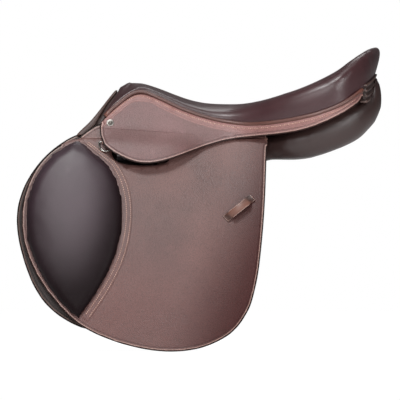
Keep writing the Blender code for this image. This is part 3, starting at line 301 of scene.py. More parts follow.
def surface_of(*objects):
    """The outer faces of finished pieces, for things that lie on them."""
    work = bmesh.new()
    for obj in objects:
        work.from_mesh(obj.data)
    tree = BVHTree.FromBMesh(work)
    work.free()
    return tree


# A place well outside the left side, from which surfaces are looked for
OUTSIDE = -0.6


def lie_on(tree, x, z, lift):
    """The point of a left-hand surface at x and z, raised off it, and its normal."""
    spot, normal = tree.ray_cast(Vector((x, OUTSIDE, z)), Vector((0.0, 1.0, 0.0)))[:2]
    if spot is None:
        spot, normal = tree.find_nearest(Vector((x, -barrel(x, z), z)))[:2]
    if normal.y > 0:
        normal = -normal
    return spot + normal * lift, normal


# The strip is filled somewhat deeper than it stands off, so that no gap shows, and its edges are rounded
STRIP_FILL = 1.1
STRIP_ROUND = 0.45


def laid_strip(name, tree, first, second, thick, across=6):
    """A strip of hide between two lines, laid on a surface: a grid shaped to it, then given its thickness."""
    bpy.ops.object.select_all(action="DESELECT")
    count = len(first) - 1
    bpy.ops.mesh.primitive_grid_add(x_subdivisions=count, y_subdivisions=across, size=2.0)
    obj = bpy.context.object
    obj.name = obj.data.name = name
    for vert in obj.data.vertices:
        along = round((vert.co.x + 1.0) / 2.0 * count)
        share = (vert.co.y + 1.0) / 2.0
        spot = first[along].lerp(second[along], share)
        vert.co = lie_on(tree, spot.x, spot.y, thick)[0]
    modify(obj, "SOLIDIFY", thickness=thick * STRIP_FILL, offset=-1.0)
    edit(obj, lambda face: True, (bpy.ops.mesh.normals_make_consistent, {"inside": False}))
    modify(obj, "BEVEL", width=thick * STRIP_ROUND, segments=2, limit_method="ANGLE",
           angle_limit=math.radians(50))
    return obj


# Half of a stitch's length, breadth and height. One stitch is modelled, and rows are copies of it
STITCH = (0.00140, 0.00060, 0.00050)


def one_stitch():
    """The points and faces of a stitch that runs along x."""
    bpy.ops.object.select_all(action="DESELECT")
    bpy.ops.mesh.primitive_uv_sphere_add(segments=6, ring_count=4, radius=1.0)
    obj = bpy.context.object
    shape = [Vector((v.co.z * STITCH[0], v.co.x * STITCH[1], v.co.y * STITCH[2])) for v in obj.data.vertices]
    faces = [tuple(p.vertices) for p in obj.data.polygons]
    bpy.data.objects.remove(obj, do_unlink=True)
    return shape, faces


STITCH_SHAPE, STITCH_FACES = one_stitch()


def stitch_row(tree, line, pitch, lift=0.0001):
    """Places for stitches along a line: middle, and the directions along, across and out."""
    length = sum((b - a).length for a, b in zip(line, line[1:]))
    spots = through(line, max(2, round(length / pitch)))
    found = []
    for i, spot in enumerate(spots[:-1]):
        middle = spot.lerp(spots[i + 1], 0.5)
        here, out = lie_on(tree, middle.x, middle.y, lift)
        ahead = lie_on(tree, spots[i + 1].x, spots[i + 1].y, lift)[0]
        along = (ahead - here).normalized()
        across = out.cross(along).normalized()
        found.append((here, along, across, along.cross(across)))
    return found


def sewn(name, places):
    """All the stitches of some rows as one piece of linen thread."""
    points, faces = [], []
    for here, along, across, out in places:
        start = len(points)
        points += [here + along * p.x + across * p.y + out * p.z for p in STITCH_SHAPE]
        faces += [tuple(start + i for i in face) for face in STITCH_FACES]
    mesh = bpy.data.meshes.new(name)
    mesh.from_pydata([tuple(p) for p in points], [], faces)
    obj = bpy.data.objects.new(name, mesh)
    bpy.context.scene.collection.objects.link(obj)
    mesh.materials.append(linen)
    edit(obj, lambda face: True, (bpy.ops.mesh.normals_make_consistent, {"inside": False}))
    shade(obj, 80)
    return obj


# Materials. A pattern reads object coordinates in metres, so its scale is one over a real size
def add(tree, kind, links=None, **settings):
    """One shader node, with its settings, its values and what feeds it."""
    node = tree.nodes.new("ShaderNode" + kind)
    for key, value in settings.items():
        setattr(node, key, value)
    for socket, source in (links or {}).items():
        if isinstance(source, bpy.types.NodeSocket):
            tree.links.new(source, node.inputs[socket])
        else:
            node.inputs[socket].default_value = source
    return node


def finish_named(name, **uniform):
    """A new material, with uniform values on its shader's own sockets."""
    material = bpy.data.materials.new(name)
    material.use_nodes = True
    tree = material.node_tree
    shader = tree.nodes["Principled BSDF"]
    for socket, value in uniform.items():
        shader.inputs[socket.replace("_", " ")].default_value = value
    return material, tree, shader


# Distances from a sheet's outline of the light line painted as the rounded edge's highlight and of the pressed
# crease, painted darker as shade in its groove, and their half-widths
HIGHLIGHT_LINE = (0.0030, 0.0010)
PRESSED_LINE = (0.0058, 0.0010)
# The dark edge, partly real edge dye and partly painted shade where the sheet's edge turns away, is full up to
# the first distance from the outline and gone at the second
DARK_EDGE = (0.0017, 0.0025)
# A piece whose outline isn't marked reads 0, so only distances above this count
RIM_MARKED = 0.00001
# Reflection left where painted shade or the dark edge is full
DULL_LEVEL = 0.04
# The grain is bent by a noise some three pebbles wide, by up to a little over one pebble
GRAIN_BEND = (0.35, 1.2)
# Noise values over which the lighter clouds, the smudges and the worn ridges come in
CLOUDS = (0.36, 0.66)
SMUDGES = (0.62, 0.85)
RIDGES = (0.535, 0.60)


def line_at(tree, away, place, strength):
    """A line at a distance from an edge, full in its middle and faded at its sides."""
    off = add(tree, "Math", {0: away, 1: place[0]}, operation="SUBTRACT").outputs[0]
    off = add(tree, "Math", {0: off}, operation="ABSOLUTE").outputs[0]
    return add(tree, "MapRange", {"Value": off, "From Min": 0.0, "From Max": place[1], "To Min": strength,
                                  "To Max": 0.0}, interpolation_type="SMOOTHSTEP").outputs[0]


def leather(name, tones, grain, depth, roughness, cloud=9.0, pores=0.5, line="#b4958a", band=None,
            **uniform):
    """Tanned hide: a grain of raised pebbles a given size apart in metres, cloudy dye, darker valleys.

    tones are the shade in the valleys, the main dye, the lighter cloud and the worn ridge. line is the
    colour of the painted highlight beside a marked outline, where the rounded edge catches light.
    band colours one kind of piece further, with painted highlight or shade, and says what is raised on it
    and what is dull."""
    material, tree, shader = finish_named(name, **uniform)
    valley_tone, main_tone, cloud_tone, ridge_tone = [linear(tone) for tone in tones]
    place = add(tree, "TexCoord").outputs["Object"]
    warp = add(tree, "TexNoise", {"Vector": place, "Scale": GRAIN_BEND[0] / grain, "Detail": 2.0})
    shift = add(tree, "VectorMath", {0: warp.outputs["Color"], 3: grain * GRAIN_BEND[1]}, operation="SCALE")
    bent = add(tree, "VectorMath", {0: place, 1: shift.outputs[0]}, operation="ADD").outputs[0]
    cells = add(tree, "TexVoronoi", {"Vector": bent, "Scale": 1.0 / grain, "Smoothness": 0.6},
                feature="SMOOTH_F1").outputs["Distance"]
    pebble = add(tree, "MapRange", {"Value": cells, "From Min": 0.15, "From Max": 0.75}).outputs[0]
    fine = add(tree, "TexNoise", {"Vector": place, "Scale": 2.6 / grain, "Detail": 3.0}).outputs[0]
    clouds = add(tree, "TexNoise", {"Vector": place, "Scale": cloud, "Detail": 4.0,
                                    "Roughness": 0.55}).outputs[0]
    smudge = add(tree, "TexNoise", {"Vector": place, "Scale": cloud * 6.0, "Detail": 3.0}).outputs[0]
    cloudy = add(tree, "MapRange", {"Value": clouds, "From Min": CLOUDS[0], "From Max": CLOUDS[1]}).outputs[0]
    dye = add(tree, "Mix", {0: cloudy, 6: main_tone, 7: cloud_tone}, data_type="RGBA").outputs[2]
    smudged = add(tree, "MapRange", {"Value": smudge, "From Min": SMUDGES[0],
                                     "From Max": SMUDGES[1]}).outputs[0]
    dye = add(tree, "Mix", {0: smudged, 6: dye, 7: cloud_tone}, data_type="RGBA").outputs[2]
    lift = dull = None
    if band:
        dye, lift, dull = band(tree, place, dye)
    rim = add(tree, "Attribute", attribute_name="rim").outputs["Fac"]
    # A light line beside the outline, painted as the highlight of the rounded edge
    lit_edge = line_at(tree, rim, HIGHLIGHT_LINE, 0.8)
    dye = add(tree, "Mix", {0: lit_edge, 6: dye, 7: linear(line)}, data_type="RGBA").outputs[2]
    # The pressed crease is bumped in and also painted in the valley tone, as shade in its groove
    groove = line_at(tree, rim, PRESSED_LINE, 0.6)
    dye = add(tree, "Mix", {0: groove, 6: dye, 7: valley_tone}, data_type="RGBA").outputs[2]
    valley = add(tree, "Math", {0: pebble, 1: pores}, operation="MULTIPLY").outputs[0]
    dye = add(tree, "Mix", {0: valley, 6: dye, 7: valley_tone}, data_type="RGBA").outputs[2]
    point = add(tree, "NewGeometry").outputs["Pointiness"]
    worn = add(tree, "MapRange", {"Value": point, "From Min": RIDGES[0], "From Max": RIDGES[1]}).outputs[0]
    dye = add(tree, "Mix", {0: worn, 6: dye, 7: ridge_tone}, data_type="RGBA").outputs[2]
    # Nearest the outline the face is painted near black, partly as the edge's dye and partly as shade where the
    # edge turns away, and its reflection is turned down there too
    edge_dark = add(tree, "MapRange", {"Value": rim, "From Min": DARK_EDGE[0], "From Max": DARK_EDGE[1],
                                  "To Min": 0.9, "To Max": 0.0}).outputs[0]
    marked = add(tree, "Math", {0: rim, 1: RIM_MARKED}, operation="GREATER_THAN").outputs[0]
    edge_dark = add(tree, "Math", {0: edge_dark, 1: marked}, operation="MULTIPLY").outputs[0]
    dye = add(tree, "Mix", {0: edge_dark, 6: dye, 7: linear("#170d0b")}, data_type="RGBA").outputs[2]
    tree.links.new(dye, shader.inputs["Base Color"])
    dull = add(tree, "Math", {0: dull or 0.0, 1: edge_dark}, operation="MAXIMUM").outputs[0]
    level = shader.inputs["Specular IOR Level"]
    shine = add(tree, "MapRange", {"Value": dull, "To Min": level.default_value, "To Max": DULL_LEVEL})
    tree.links.new(shine.outputs[0], level)
    tall = add(tree, "Math", {0: 1.0, 1: pebble}, operation="SUBTRACT").outputs[0]
    height = add(tree, "Math", {0: fine, 1: 0.35, 2: tall}, operation="MULTIPLY_ADD").outputs[0]
    lines = add(tree, "Math", {0: lift or 0.0, 1: groove}, operation="SUBTRACT").outputs[0]
    pressed = add(tree, "Bump", {"Height": lines, "Distance": 0.0006, "Strength": 0.9}).outputs[0]
    bump = add(tree, "Bump", {"Height": height, "Distance": depth, "Strength": 0.8, "Normal": pressed})
    tree.links.new(bump.outputs[0], shader.inputs["Normal"])
    gloss = add(tree, "MapRange", {"Value": clouds, "From Min": 0.3, "From Max": 0.7,
                                   "To Min": roughness[0], "To Max": roughness[1]})
    tree.links.new(gloss.outputs[0], shader.inputs["Roughness"])
    return material


# The line of the welt, as height over x, for the band along the top of the skirt
WELT_LINE = mm([
    (-184, 67), (-171, 81), (-155, 94.4), (-142, 104.8), (-130, 110.4), (-117, 110.4), (-91, 100),
    (-59, 84.8), (-27, 73), (5, 64.8), (45, 59.2), (85, 61), (133, 68.8), (165, 76.8), (197, 89.6),
    (221, 104.8), (234, 115.2),
])
# The corner and the size of the box in which the curve is drawn
LINE_LOW = (-0.190, 0.050)
LINE_SPAN = (0.430, 0.070)


def under_welt(tree, place):
    """Distance below the welt's line, drawn as a curve over x."""
    apart = add(tree, "SeparateXYZ", {0: place})
    along = add(tree, "MapRange", {"Value": apart.outputs["X"], "From Min": LINE_LOW[0],
                                   "From Max": LINE_LOW[0] + LINE_SPAN[0]}).outputs[0]
    curve = add(tree, "FloatCurve", {"Value": along})
    line = curve.mapping.curves[0]
    spots = [((x - LINE_LOW[0]) / LINE_SPAN[0], (z - LINE_LOW[1]) / LINE_SPAN[1]) for x, z in WELT_LINE]
    line.points[0].location = spots[0]
    line.points[-1].location = spots[-1]
    for spot in spots[1:-1]:
        line.points.new(*spot)
    curve.mapping.update()
    height = add(tree, "Math", {0: curve.outputs[0], 1: LINE_SPAN[1], 2: LINE_LOW[1]},
                 operation="MULTIPLY_ADD").outputs[0]
    return add(tree, "Math", {0: height, 1: apart.outputs["Z"]}, operation="SUBTRACT").outputs[0]


# Depths below the welt over which the pink band, a painted highlight on the skirt's upper roll, fades out
PINK_BAND = (0.008, 0.017)
# The skirt's raised crease, bumped up and given a painted highlight line: its depth below the welt, its
# half-width, and the x over which it ends
CREASE = (0.0135, 0.0022)
CREASE_END = (-0.02, 0.05)
# The skirt's tail is pinker behind the first x, and most so from the second
PINK_TAIL = (0.02, 0.17)


def skirt_band(tree, place, dye):
    """The band between the welt and the crease is painted pinker as a highlight on the skirt's upper roll, and
    the crease is a painted highlight line.
    """
    below = under_welt(tree, place)
    near = add(tree, "MapRange", {"Value": below, "From Min": PINK_BAND[0], "From Max": PINK_BAND[1],
                                  "To Min": 0.75, "To Max": 0.0}).outputs[0]
    dye = add(tree, "Mix", {0: near, 6: dye, 7: linear("#966964")}, data_type="RGBA").outputs[2]
    along = add(tree, "SeparateXYZ", {0: place}).outputs["X"]
    tail = add(tree, "MapRange", {"Value": along, "From Min": PINK_TAIL[0], "From Max": PINK_TAIL[1],
                                  "To Min": 0.0, "To Max": 0.7}).outputs[0]
    dye = add(tree, "Mix", {0: tail, 6: dye, 7: linear("#8c605a")}, data_type="RGBA").outputs[2]
    ridge = line_at(tree, below, CREASE, 1.0)
    fore = add(tree, "MapRange", {"Value": along, "From Min": CREASE_END[0], "From Max": CREASE_END[1],
                                  "To Min": 1.0, "To Max": 0.0}).outputs[0]
    ridge = add(tree, "Math", {0: ridge, 1: fore}, operation="MULTIPLY").outputs[0]
    light = add(tree, "Math", {0: ridge, 1: 0.4}, operation="MULTIPLY").outputs[0]
    dye = add(tree, "Mix", {0: light, 6: dye, 7: linear("#b08984")}, data_type="RGBA").outputs[2]
    return dye, ridge, None


# Heights over which the flap's dye turns redder
RED_FOOT = (-0.10, -0.24)
# Places over x in which painted shade deepens the flap's rear, where it turns away from the light, drawn
# forward towards the foot by a share of the height
DEEP_REAR = (0.0, 0.13)
DEEP_LEAN = -0.35


def flap_tone_and_shade(tree, place, dye):
    """The flap's dye is redder towards its foot, and painted shade makes it much deeper and duller towards its
    rear edge, which turns away from the light.
    """
    apart = add(tree, "SeparateXYZ", {0: place})
    low = add(tree, "MapRange", {"Value": apart.outputs["Z"], "From Min": RED_FOOT[0],
                                 "From Max": RED_FOOT[1], "To Min": 0.0, "To Max": 0.6}).outputs[0]
    dye = add(tree, "Mix", {0: low, 6: dye, 7: linear("#5b2f2a")}, data_type="RGBA").outputs[2]
    across = add(tree, "Math", {0: apart.outputs["Z"], 1: DEEP_LEAN, 2: apart.outputs["X"]},
                 operation="MULTIPLY_ADD").outputs[0]
    rear = add(tree, "MapRange", {"Value": across, "From Min": DEEP_REAR[0], "From Max": DEEP_REAR[1],
                                  "To Min": 0.0, "To Max": 0.9}, interpolation_type="SMOOTHSTEP").outputs[0]
    dye = add(tree, "Mix", {0: rear, 6: dye, 7: linear("#3a1c1c")}, data_type="RGBA").outputs[2]
    return dye, None, rear


# The middle of the knee pad's painted lit patch, which its crown also takes, and one over its half-sizes along
# x and z
PAD_MIDDLE = (-0.240, 0.0, -0.040)
PAD_SHARE = (1.0 / 0.090, 0.0, 1.0 / 0.175)
# Shares of the way out from that middle over which painted shade deepens the dye
PAD_DEEPENS = (0.25, 1.05)


def pad_shade(tree, place, dye):
    """The knee pad is painted lighter in its middle and deep round its edges and lower point, as light and
    shade on a dome, and its reflection fades with the shade.
    """
    middle = add(tree, "VectorMath", {0: place, 1: PAD_MIDDLE}, operation="SUBTRACT").outputs[0]
    share = add(tree, "VectorMath", {0: middle, 1: PAD_SHARE}, operation="MULTIPLY").outputs[0]
    away = add(tree, "VectorMath", {0: share}, operation="LENGTH").outputs["Value"]
    deep = add(tree, "MapRange", {"Value": away, "From Min": PAD_DEEPENS[0], "From Max": PAD_DEEPENS[1],
                                  "To Min": 0.0, "To Max": 0.95}, interpolation_type="SMOOTHSTEP").outputs[0]
    dye = add(tree, "Mix", {0: deep, 6: dye, 7: linear("#110a0b")}, data_type="RGBA").outputs[2]
    return dye, None, deep


# Pebbled vegetable-tanned cowhide: fine raised grain about 1.4 mm apart, waxed to a soft sheen
flap_hide = leather("pebbled_flap_cowhide", ("#2e1a18", "#563a36", "#6c4b46", "#8d6a60"), 0.0014, 0.00022,
                    (0.40, 0.52), band=flap_tone_and_shade, Specular_IOR_Level=0.5)
skirt_hide = leather("pebbled_skirt_cowhide", ("#331d1b", "#60413f", "#785655", "#93706a"), 0.0014, 0.00022,
                     (0.40, 0.52), band=skirt_band, Specular_IOR_Level=0.5)
# Smooth aniline calf over foam: hardly any grain, deep brown, soft highlights
seat_hide = leather("smooth_seat_calf", ("#1d1011", "#321c1e", "#3e2427", "#50393a"), 0.0009, 0.00007,
                    (0.30, 0.38), cloud=6.0, pores=0.25, Specular_IOR_Level=0.5)
pad_hide = leather("smooth_knee_pad_calf", ("#181012", "#33242b", "#42323a", "#46363a"), 0.0009, 0.00006,
                   (0.42, 0.52), cloud=6.0, pores=0.25, band=pad_shade, Specular_IOR_Level=0.42)
panel_hide = leather("stuffed_panel_calf", ("#160f0d", "#2a1b19", "#372523", "#4a3835"), 0.0009, 0.00008,
                     (0.30, 0.42), cloud=7.0, pores=0.3, Specular_IOR_Level=0.5)
# Firm lining hide: a flatter and coarser grain, and duller than the outside
lining_hide = leather("firm_lining_hide", ("#1c1210", "#2f1f1c", "#3c2925", "#574039"), 0.0018, 0.00012,
                      (0.46, 0.58), pores=0.4, line="#6b5046")
sweat_hide = leather("dark_sweat_flap_hide", ("#120c0b", "#211614", "#2d201d", "#45342f"), 0.0018, 0.00012,
                     (0.46, 0.58), pores=0.4, line="#6b5046", Specular_IOR_Level=0.32)
# Close-grained bridle hide of the keepers, and the thin hide rolled round the welt's cord
keeper_hide = leather("keeper_bridle_hide", ("#1c0f0d", "#38231e", "#4a2f28", "#6b4a40"), 0.0010, 0.00008,
                      (0.38, 0.5), pores=0.3, Specular_IOR_Level=0.34)
welt_hide = leather("rolled_welt_hide", ("#2a1411", "#4a2a24", "#5a362e", "#7c5044"), 0.0010, 0.00008,
                    (0.34, 0.44), pores=0.3)
# Cut edges are given dark dye and wax: a dark wall, and on the keepers a light corner painted as a highlight
edge_dye = leather("dyed_leather_edge", ("#140b09", "#22130f", "#2f1c17", "#3d2a24"), 0.0007, 0.0001,
                   (0.42, 0.6), pores=0.6)
edge_highlight = leather("painted_highlight_leather_edge", ("#6f4c42", "#8f6c60", "#a3837a", "#b79a90"), 0.0009, 0.00006,
                      (0.32, 0.42), pores=0.3)

# Scratches are drawn this many times as close along z as across it
SCRATCH_DRAW = 14.0


def metal(name, tones, roughness, scratch, film):
    """Metal with fine scratches and a cloudy handled film, each given as how many to a metre."""
    material, tree, shader = finish_named(name, Metallic=1.0)
    place = add(tree, "TexCoord").outputs["Object"]
    drawn = add(tree, "Mapping", {"Vector": place, "Scale": (1.0, 1.0, SCRATCH_DRAW)}).outputs[0]
    lines = add(tree, "TexNoise", {"Vector": drawn, "Scale": scratch, "Detail": 4.0}).outputs[0]
    haze = add(tree, "TexNoise", {"Vector": place, "Scale": film, "Detail": 3.0}).outputs[0]
    handled = add(tree, "MapRange", {"Value": haze, "From Min": 0.35, "From Max": 0.7}).outputs[0]
    plate = add(tree, "Mix", {0: handled, 6: linear(tones[0]), 7: linear(tones[1])}, data_type="RGBA")
    tree.links.new(plate.outputs[2], shader.inputs["Base Color"])
    rough = add(tree, "MapRange", {"Value": lines, "To Min": roughness[0], "To Max": roughness[1]})
    tree.links.new(rough.outputs[0], shader.inputs["Roughness"])
    bump = add(tree, "Bump", {"Height": lines, "Distance": 0.00003, "Strength": 0.5})
    tree.links.new(bump.outputs[0], shader.inputs["Normal"])
    return material


# Bright nickel plate on brass, forged steel of the stirrup bars, and blued spring steel inside the tree
nickel = metal("nickel_plate", ("#c9c6c0", "#e8e6e1"), (0.16, 0.30), 900.0, 160.0)
forged = metal("forged_bar_steel", ("#8f8f92", "#b3b3b5"), (0.28, 0.46), 500.0, 90.0)
spring_steel = metal("blued_spring_steel", ("#4a4d55", "#6a6d74"), (0.35, 0.55), 300.0, 60.0)

# A wave texture's bands lie 2 pi over this many times its scale apart
WAVE_RATE = 20.0
# The wave's scale that gives one light and one dark ply of 1.2 mm, and the grain's scales along x, y and z
PLY_SCALE = 130.0
WOOD_GRAIN = (60.0, 400.0, 400.0)


def beech_wood():
    """Laminated beech under varnish: plies about 1.2 mm thick with long grain lines."""
    material, tree, shader = finish_named("laminated_beech", Coat_Weight=0.25)
    place = add(tree, "TexCoord").outputs["Object"]
    long = add(tree, "Mapping", {"Vector": place, "Scale": WOOD_GRAIN}).outputs[0]
    grain = add(tree, "TexNoise", {"Vector": long, "Scale": 1.0, "Detail": 5.0, "Distortion": 0.6}).outputs[0]
    plies = add(tree, "TexWave", {"Vector": place, "Scale": PLY_SCALE, "Distortion": 1.5},
                bands_direction="Z").outputs["Color"]
    wood = add(tree, "Mix", {0: grain, 6: linear("#6e4a2c"), 7: linear("#a1764a")}, data_type="RGBA")
    share = add(tree, "Math", {0: plies, 1: 0.35}, operation="MULTIPLY").outputs[0]
    wood = add(tree, "Mix", {0: share, 6: wood.outputs[2], 7: linear("#4d3018")}, data_type="RGBA")
    tree.links.new(wood.outputs[2], shader.inputs["Base Color"])
    rough = add(tree, "MapRange", {"Value": grain, "To Min": 0.4, "To Max": 0.65})
    tree.links.new(rough.outputs[0], shader.inputs["Roughness"])
    bump = add(tree, "Bump", {"Height": grain, "Distance": 0.0001, "Strength": 0.6})
    tree.links.new(bump.outputs[0], shader.inputs["Normal"])
    return material


WEAVE_PITCH = 0.0024


def canvas():
    """Flax webbing in plain weave, its threads 2.4 mm apart: coarser than real ones, so that they show."""
    material, tree, shader = finish_named("flax_webbing")
    place = add(tree, "TexCoord").outputs["Object"]
    turns = 2.0 * math.pi / WEAVE_PITCH / WAVE_RATE
    warp = add(tree, "TexWave", {"Vector": place, "Scale": turns}, bands_direction="X").outputs["Color"]
    weft = add(tree, "TexWave", {"Vector": place, "Scale": turns}, bands_direction="Y").outputs["Color"]
    both = add(tree, "Math", {0: warp, 1: weft}, operation="MAXIMUM").outputs[0]
    weave = add(tree, "Mix", {0: both, 6: linear("#7c6a4b"), 7: linear("#b39f78")}, data_type="RGBA")
    tree.links.new(weave.outputs[2], shader.inputs["Base Color"])
    rough = add(tree, "MapRange", {"Value": both, "To Min": 0.95, "To Max": 0.8})
    tree.links.new(rough.outputs[0], shader.inputs["Roughness"])
    bump = add(tree, "Bump", {"Height": both, "Distance": 0.0004, "Strength": 0.8})
    tree.links.new(bump.outputs[0], shader.inputs["Normal"])
    return material


# The wave's scale that gives the thread a twist each 2.8 mm on the slant, coarser than real, so that it shows
THREAD_TWIST = 130.0


def waxed_thread():
    """Waxed linen thread: tan where its twist stands up, over a brown core."""
    material, tree, shader = finish_named("waxed_linen_thread", Sheen_Weight=0.2)
    place = add(tree, "TexCoord").outputs["Object"]
    plies = add(tree, "TexWave", {"Vector": place, "Scale": THREAD_TWIST, "Distortion": 2.0},
                bands_direction="DIAGONAL").outputs["Color"]
    twist = add(tree, "Mix", {0: plies, 6: linear("#8f6a5b"), 7: linear("#c39f8d")}, data_type="RGBA")
    tree.links.new(twist.outputs[2], shader.inputs["Base Color"])
    rough = add(tree, "MapRange", {"Value": plies, "To Min": 0.7, "To Max": 0.5})
    tree.links.new(rough.outputs[0], shader.inputs["Roughness"])
    return material


# The first girth strap's middle and the distance to the next, and the holes' distance down a strap
FIRST_STRAP = -0.083
STRAP_PITCH = 0.037
HOLE_PITCH = 0.025
# A hole, painted near black as the shade inside it, is full up to the first distance from its middle and gone
# at the second
HOLE_RIM = (0.0021, 0.0026)
# Holes start below this height, and are sunk by this many heights of the grain
HOLES_TOP = -0.088
HOLE_SUNK = -6.0


def strap_hide():
    """Bridle hide for the girth straps, with the row of punched holes 25 mm apart down each strap, painted near
    black as the shade in them.
    """
    material, tree, shader = finish_named("punched_strap_hide", Specular_IOR_Level=0.5)
    place = add(tree, "TexCoord").outputs["Object"]
    apart = add(tree, "SeparateXYZ", {0: place})
    half = STRAP_PITCH / 2.0
    across = add(tree, "Math", {0: apart.outputs["X"], 1: half - FIRST_STRAP}, operation="ADD").outputs[0]
    across = add(tree, "Math", {0: across, 1: STRAP_PITCH}, operation="FLOORED_MODULO").outputs[0]
    across = add(tree, "Math", {0: across, 1: half}, operation="SUBTRACT").outputs[0]
    along = add(tree, "Math", {0: apart.outputs["Z"], 1: HOLE_PITCH}, operation="FLOORED_MODULO").outputs[0]
    along = add(tree, "Math", {0: along, 1: HOLE_PITCH / 2.0}, operation="SUBTRACT").outputs[0]
    spot = add(tree, "CombineXYZ", {"X": across, "Y": along}).outputs[0]
    away = add(tree, "VectorMath", {0: spot}, operation="LENGTH").outputs["Value"]
    hole = add(tree, "MapRange", {"Value": away, "From Min": HOLE_RIM[0], "From Max": HOLE_RIM[1],
                                  "To Min": 1.0, "To Max": 0.0}).outputs[0]
    below = add(tree, "Math", {0: apart.outputs["Z"], 1: HOLES_TOP}, operation="LESS_THAN").outputs[0]
    hole = add(tree, "Math", {0: hole, 1: below}, operation="MULTIPLY").outputs[0]
    grain = add(tree, "TexNoise", {"Vector": place, "Scale": 700.0, "Detail": 3.0}).outputs[0]
    clouds = add(tree, "TexNoise", {"Vector": place, "Scale": 12.0, "Detail": 3.0}).outputs[0]
    cloudy = add(tree, "MapRange", {"Value": clouds, "From Min": 0.35, "From Max": 0.65}).outputs[0]
    dye = add(tree, "Mix", {0: cloudy, 6: linear("#33201b"), 7: linear("#4a3029")}, data_type="RGBA")
    dye = add(tree, "Mix", {0: hole, 6: dye.outputs[2], 7: linear("#0c0706")}, data_type="RGBA")
    tree.links.new(dye.outputs[2], shader.inputs["Base Color"])
    rough = add(tree, "MapRange", {"Value": grain, "To Min": 0.38, "To Max": 0.55})
    tree.links.new(rough.outputs[0], shader.inputs["Roughness"])
    raised = add(tree, "Math", {0: hole, 1: HOLE_SUNK, 2: grain}, operation="MULTIPLY_ADD").outputs[0]
    bump = add(tree, "Bump", {"Height": raised, "Distance": 0.0001, "Strength": 0.8})
    tree.links.new(bump.outputs[0], shader.inputs["Normal"])
    return material


# Distances from the nail's middle over which its plate turns from a painted grey shade to a painted bright
# highlight
NAIL_RING = (0.0032, 0.0046)


def nail_plate():
    """Nickel plate on the nail: painted bright on its ring as a highlight, painted grey in the sunk middle as
    shade, under a fine worn film.
    """
    spots = [vert.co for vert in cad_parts["saddle_nail_left"].data.vertices]
    centre = sum(spots, Vector()) / len(spots)
    material, tree, shader = finish_named("nickel_nail_wear_and_painted_light", Metallic=1.0)
    place = add(tree, "TexCoord").outputs["Object"]
    apart = add(tree, "SeparateXYZ", {0: place})
    off_x = add(tree, "Math", {0: apart.outputs["X"], 1: centre.x}, operation="SUBTRACT").outputs[0]
    off_z = add(tree, "Math", {0: apart.outputs["Z"], 1: centre.z}, operation="SUBTRACT").outputs[0]
    spot = add(tree, "CombineXYZ", {"X": off_x, "Y": off_z}).outputs[0]
    away = add(tree, "VectorMath", {0: spot}, operation="LENGTH").outputs["Value"]
    ring = add(tree, "MapRange", {"Value": away, "From Min": NAIL_RING[0], "From Max": NAIL_RING[1]})
    plate = add(tree, "Mix", {0: ring.outputs[0], 6: linear("#55514d"), 7: linear("#dcd8d2")},
                data_type="RGBA").outputs[2]
    film = add(tree, "TexNoise", {"Vector": place, "Scale": 900.0}).outputs[0]
    worn = add(tree, "MapRange", {"Value": film, "From Min": 0.4, "From Max": 0.9}).outputs[0]
    plate = add(tree, "Mix", {0: worn, 6: plate, 7: linear("#5c5854")}, data_type="RGBA").outputs[2]
    tree.links.new(plate, shader.inputs["Base Color"])
    rough = add(tree, "MapRange", {"Value": film, "To Min": 0.34, "To Max": 0.5})
    tree.links.new(rough.outputs[0], shader.inputs["Roughness"])
    bump = add(tree, "Bump", {"Height": film, "Distance": 0.00003, "Strength": 0.5})
    tree.links.new(bump.outputs[0], shader.inputs["Normal"])
    return material


nail_nickel = nail_plate()
beech = beech_wood()
flax = canvas()
linen = waxed_thread()
strap = strap_hide()

# CAD nodes that keep their own shape
KEPT = {
    "tree_head": beech, "tree_rails": beech, "gullet_plate": spring_steel, "tree_spring": spring_steel,
    "seat_web": flax, "girth_web_front": flax, "girth_web_rear": flax, "gullet_lining": lining_hide,
    "girth_strap_1": strap, "girth_strap_2": strap, "girth_strap_3": strap, "stirrup_bar": forged,
    "catch": forged, "bar_rivet_1": forged, "bar_rivet_2": forged, "saddle_nail": nail_nickel, "dee": nickel,
    "dee_tab": flap_hide, "buckle_guard": lining_hide,
}
for name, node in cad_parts.items():
    finish = KEPT.get(name) or KEPT.get(name.rsplit("_", 1)[0])
    if finish:
        for slot in node.material_slots:
            slot.material = finish

# A face whose normal has less than this across the saddle is the wall of a cut sheet
WALL_TILT = 0.06
# A bevel's face that turns outwards more than this is the corner, and the others belong to the wall
CORNER_TILT = -0.75


def is_wall(face):
    return abs(face.normal.y) < WALL_TILT


